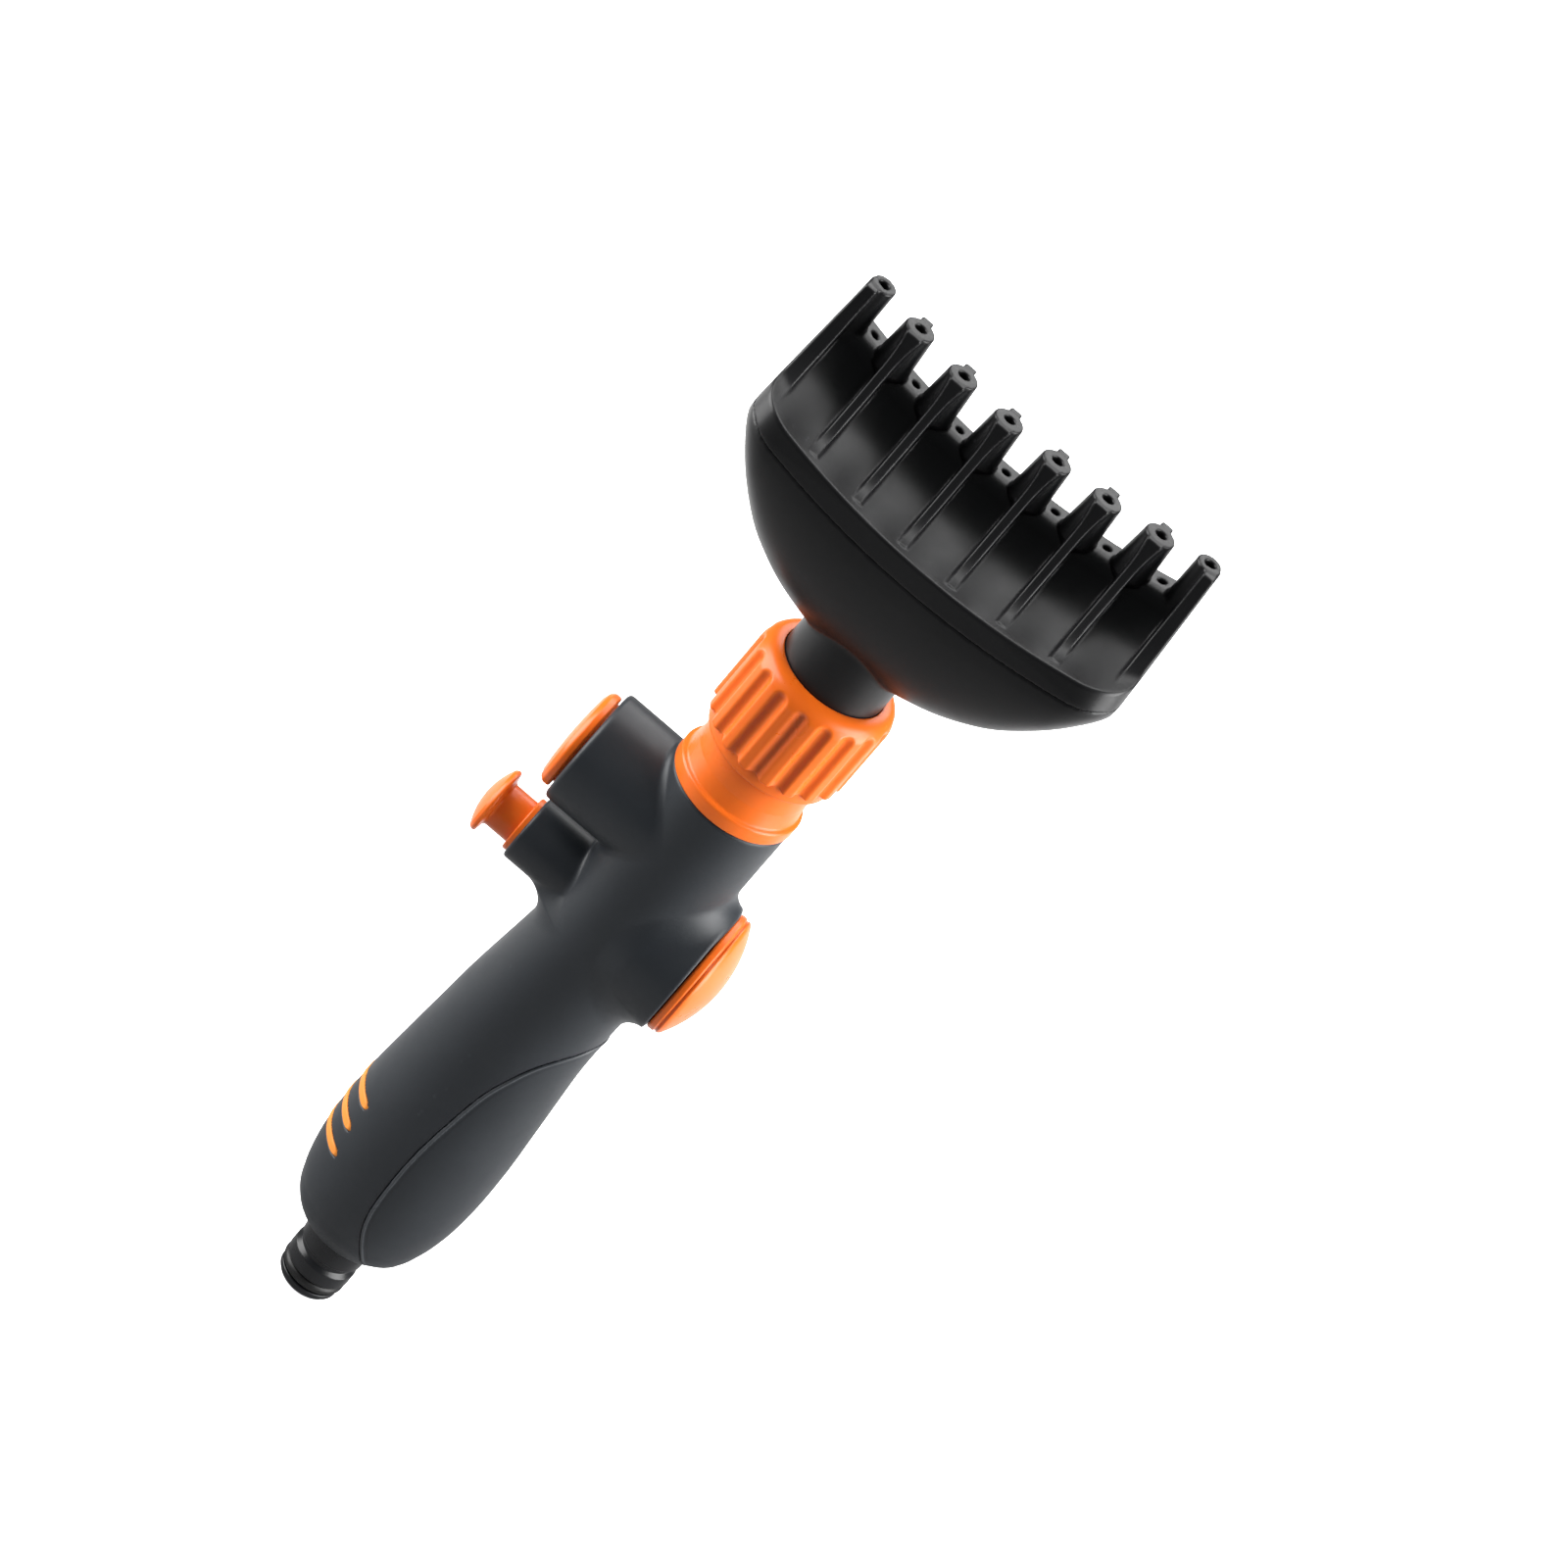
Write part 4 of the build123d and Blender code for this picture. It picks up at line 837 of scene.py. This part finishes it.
def build_valve_buttons():
    centre = (0, 0, VALVE_Z)
    inner = PLUNGER_HIGH[0]
    cap_in = PLUNGER_LOW[0] + 4.3
    cap_r = (PLUNGER_HIGH[2] - PLUNGER_LOW[2]) / 2
    socket_r, socket_end, stem_r = 3.02, -34.1, 6.1
    corners = [
        (0, socket_end, 0), (socket_r, socket_end, 0.1), (socket_r, inner, 0.1),
        (stem_r, inner, 0.3), (stem_r, cap_in, 0.9),
        (cap_r - 0.3, cap_in - 0.5, 0.6), (cap_r, cap_in - 1.3, 0.7), (cap_r - 0.6, cap_in - 2.2, 0.6),
    ] + crown(cap_r - 1.4, cap_in - 2.6, PLUNGER_LOW[0])
    plunger = turned("plunger_button_cap", corners, centre, "X")
    finish_piece(plunger, "valve", "orange_plastic", "plunger_button")
    hole_r, bush_r = 6.15, 7.7
    corners = [
        (hole_r, BUSH_LOW[0], 0.4), (bush_r, BUSH_LOW[0], 0.5),
        (bush_r, BUSH_HIGH[0], 0.1), (hole_r, BUSH_HIGH[0], 0.1),
    ]
    bush = turned("plunger_bush_ring", corners, centre, "X")
    finish_piece(bush, "handle", "orange_plastic", "plunger_bush")
    lip_in = DOME_HIGH[0] - 8.3
    lip_r = (DOME_HIGH[2] - DOME_LOW[2]) / 2
    skirt_in = DOME_LOW[0]
    roof_in = lip_in + 2.9
    post_in, bore_r, bore_end, post_r = 14.2, 4.02, 18.05, 5.6
    skirt_in_r, skirt_r = 12.9, 14.5
    screw_r, head_r, head_seat, head_top = 1.7, 3.2, 21.0, 27.0
    corners = [
        (bore_r, post_in, 0.2), (post_r, post_in, 0.2), (post_r, roof_in, 0.3), (skirt_in_r, roof_in, 0.3),
        (skirt_in_r, skirt_in, 0.3), (skirt_r, skirt_in, 0.3), (skirt_r, lip_in, 0.3),
        (lip_r - 0.2, lip_in, 0.5), (lip_r, lip_in + 0.6, 0.5), (lip_r, lip_in + 1.9, 0.4),
        (lip_r - 0.55, lip_in + 2.25, 0.25), (lip_r - 0.1, lip_in + 2.9, 0.6),
    ] + crown(lip_r - 0.75, lip_in + 3.7, DOME_HIGH[0], 20)[:-1] + [
        (0.0, DOME_HIGH[0], 0), (0.0, head_top, 0), (head_r, head_top, 0.2), (head_r, head_seat, 0.1),
        (screw_r, head_seat, 0.1), (screw_r, bore_end, 0.1), (bore_r, bore_end, 0.1),
    ]
    dome = turned("dome_button_cap", corners, centre, "X", arc_steps=5)
    finish_piece(dome, "valve", "orange_plastic", "dome_button")


def build_soap_cap():
    disc_r = (SOAP_HIGH[2] - SOAP_LOW[2]) / 2
    inner = SOAP_LOW[0] + 4.2
    outer = SOAP_LOW[0]
    plug_r, hollow_r, plug_end = 11.95, 9.0, SOAP_HIGH[0]
    seal_r, seal_in, seal_out = 10.8, -26.0, -27.6
    corners = [
        (0, inner + 0.6, 0), (hollow_r, inner + 0.6, 0.3), (hollow_r, plug_end, 0.3),
        (plug_r, plug_end, 0.4),
        (plug_r, seal_in, 0.1), (seal_r, seal_in, 0.1), (seal_r, seal_out, 0.1), (plug_r, seal_out, 0.1),
        (plug_r, inner, 0.2), (disc_r - 0.3, inner, 0.4), (disc_r, inner - 0.5, 0.4),
        (disc_r, inner - 1.9, 1.2), (disc_r - 1.0, inner - 3.0, 1.0),
    ] + crown(disc_r - 2.6, inner - 3.55, outer)
    cap = turned("soap_cap_disc", corners, (0, 0, SOAP_Z), "X")
    finish_piece(cap, "soap_cap", "orange_plastic", "soap_cap")


def build_collar():
    flange = (COLLAR_HIGH[0] - COLLAR_LOW[0]) / 2
    base = COLLAR_LOW[2]
    top = COLLAR_HIGH[2]
    seat_r, bore_r, waist_r, root_r, ridge_r = 9.5, 12.5, 15.4, 15.2, 16.1
    corners = [
        (seat_r, base, 0.2), (flange, base, 0.7), (flange, base + 4.0, 0.8), (16.0, base + 4.6, 0.8),
        (waist_r, base + 9.0, 1.0), (waist_r, base + 17.0, 0.4),
    ]
    ridge = base + 19.0
    while ridge + 2.2 < top:
        corners += [
            (root_r, ridge - 0.4, 0.2), (ridge_r, ridge + 0.5, 0.2),
            (ridge_r, ridge + 1.5, 0.2), (root_r, ridge + 2.2, 0.2),
        ]
        ridge += 3.0
    corners += [
        (root_r, top, 0.3), (bore_r, top, 0.3), (bore_r, base + 16.0, 0.3), (seat_r, base + 13.0, 0.3),
    ]
    collar = turned("outlet_collar_ring", corners, (HEAD_X, 0, 0))
    finish_piece(collar, "handle", "orange_plastic", "outlet_collar")


def build_nut():
    nut = moulded("collar_nut_fluted", nut_field, NUT_LOW, NUT_HIGH, 0.3)
    finish_piece(nut, "collar_nut", "orange_plastic", "collar_nut")


def build_head():
    bowl = moulded("head_bowl_moulding", bowl_field, BOWL_LOW, BOWL_HIGH, 0.5)
    finish_piece(bowl, "head", "head_plastic", "head_bowl")
    comb = moulded("comb_plate_moulding", comb_field, COMB_LOW, COMB_HIGH, 0.4)
    finish_piece(comb, "head", "head_plastic", "comb_plate")


def finish_carried_nodes():
    """CAD nodes whose shape is right keep it and take their slot's material."""
    slot_of = {row["node"]: row["material_slot"] for row in frame["record"]["subparts"]}
    for name, piece in frame["nodes"].items():
        piece.data.materials.clear()
        piece.data.materials.append(MATERIALS[slot_of[name]])


# ---- stage --------------------------------------------------------------------------------------
CAMERA_TILT = math.radians(33.0)          # how far the camera looks down
CAMERA_ROLL = math.radians(49.4)          # how the sprayer lies across the picture
CAMERA_DISTANCE = 1700 * MM
CAMERA_LENS = 165.6
PIVOT = Vector((HEAD_X * MM, 0, 217.6 * MM))
WORLD_FILL = 0.14                         # light from all around
WORLD_SEEN = 1.05                         # how bright the camera sees the surroundings
FLOOR_GLOW = 0.85                         # only what the camera sees
BOUNCE_FRONT = 0.25                       # how pale the floor is to everything but the camera
BOUNCE_BACK = 0.75
FLOOR_HALF = 6.0                          # metres
FLOOR_DROP = 0.0003                       # metres below the tail's end


def add_camera():
    data = bpy.data.cameras.new("camera")
    data.lens = CAMERA_LENS
    data.sensor_width = 36.0
    data.shift_y = -0.0331
    data.clip_end = 10
    camera = bpy.data.objects.new("camera", data)
    away = Vector((0, -math.cos(CAMERA_TILT), math.sin(CAMERA_TILT)))
    across = Vector((1, 0, 0))
    along = Vector((0, math.sin(CAMERA_TILT), math.cos(CAMERA_TILT)))
    right = across * math.sin(CAMERA_ROLL) + along * math.cos(CAMERA_ROLL)
    up = along * math.sin(CAMERA_ROLL) - across * math.cos(CAMERA_ROLL)
    turn = Matrix((right, up, away)).transposed().to_4x4()
    camera.matrix_world = Matrix.Translation(PIVOT + away * CAMERA_DISTANCE) @ turn
    bpy.context.scene.collection.objects.link(camera)
    bpy.context.scene.camera = camera


def add_softbox(name, place_mm, aim_mm, width_mm, height_mm, power):
    data = bpy.data.lights.new(name, "AREA")
    data.shape = "RECTANGLE"
    data.size = width_mm * MM
    data.size_y = height_mm * MM
    data.energy = power
    light = bpy.data.objects.new(name, data)
    place = Vector(place_mm) * MM
    look = Vector(aim_mm) * MM - place
    light.rotation_euler = look.to_track_quat("-Z", "Y").to_euler()
    light.location = place
    bpy.context.scene.collection.objects.link(light)


def add_lights():
    add_softbox("left_softbox", (-650, -40, 360), (0, 0, 180), 500, 900, 12.0)
    add_softbox("right_softbox", (650, -40, 360), (0, 0, 180), 500, 900, 14.0)
    add_softbox("top_softbox", (0, 350, 1000), (0, 0, 150), 1100, 500, 8.0)
    add_softbox("back_softbox", (0, 950, 800), (0, 0, 280), 1000, 450, 6.0)
    world = bpy.data.worlds.new("studio")
    world.use_nodes = True
    background = world.node_tree.nodes["Background"]
    background.inputs["Color"].default_value = (0.95, 0.97, 1.0, 1)
    seen = node(world.node_tree, "ShaderNodeLightPath").outputs["Is Camera Ray"]
    strength = remap(world.node_tree, seen, 0, 1, WORLD_FILL, WORLD_SEEN)
    world.node_tree.links.new(strength, background.inputs["Strength"])
    bpy.context.scene.world = world
    bpy.context.scene.view_settings.view_transform = "Standard"


def add_floor():
    material = bpy.data.materials.new("pale_floor")
    material.use_nodes = True
    tree = material.node_tree
    shader = tree.nodes["Principled BSDF"]
    coords = node(tree, "ShaderNodeTexCoord").outputs["Object"]
    tone = mix_colour(tree, noise(tree, coords, 6, 3), (0.93, 0.93, 0.93), (0.95, 0.95, 0.95))
    seen = node(tree, "ShaderNodeLightPath").outputs["Is Camera Ray"]
    split = node(tree, "ShaderNodeSeparateXYZ")
    tree.links.new(coords, split.inputs[0])
    behind = remap(tree, split.outputs["Y"], 0.0, 0.35, 0, 1)
    bounce = mix_colour(tree, behind, (BOUNCE_FRONT,) * 3, (BOUNCE_BACK,) * 3)
    tree.links.new(mix_colour(tree, seen, bounce, tone), shader.inputs["Base Color"])
    shader.inputs["Roughness"].default_value = 0.85
    shader.inputs["Emission Color"].default_value = (1, 1, 1, 1)
    tree.links.new(remap(tree, seen, 0, 1, 0, FLOOR_GLOW), shader.inputs["Emission Strength"])
    half = FLOOR_HALF
    corners = [(-half, -half, 0), (half, -half, 0), (half, half, 0), (-half, half, 0)]
    mesh = bpy.data.meshes.new("floor")
    mesh.from_pydata(corners, [], [(0, 1, 2, 3)])
    mesh.materials.append(material)
    floor = bpy.data.objects.new("floor", mesh)
    floor.location.z = TAIL_LOW[2] * MM - FLOOR_DROP
    bpy.context.scene.collection.objects.link(floor)


finish_carried_nodes()
build_handle()
build_tail()
build_valve_buttons()
build_soap_cap()
build_collar()
build_nut()
build_head()
add_camera()
add_lights()
add_floor()
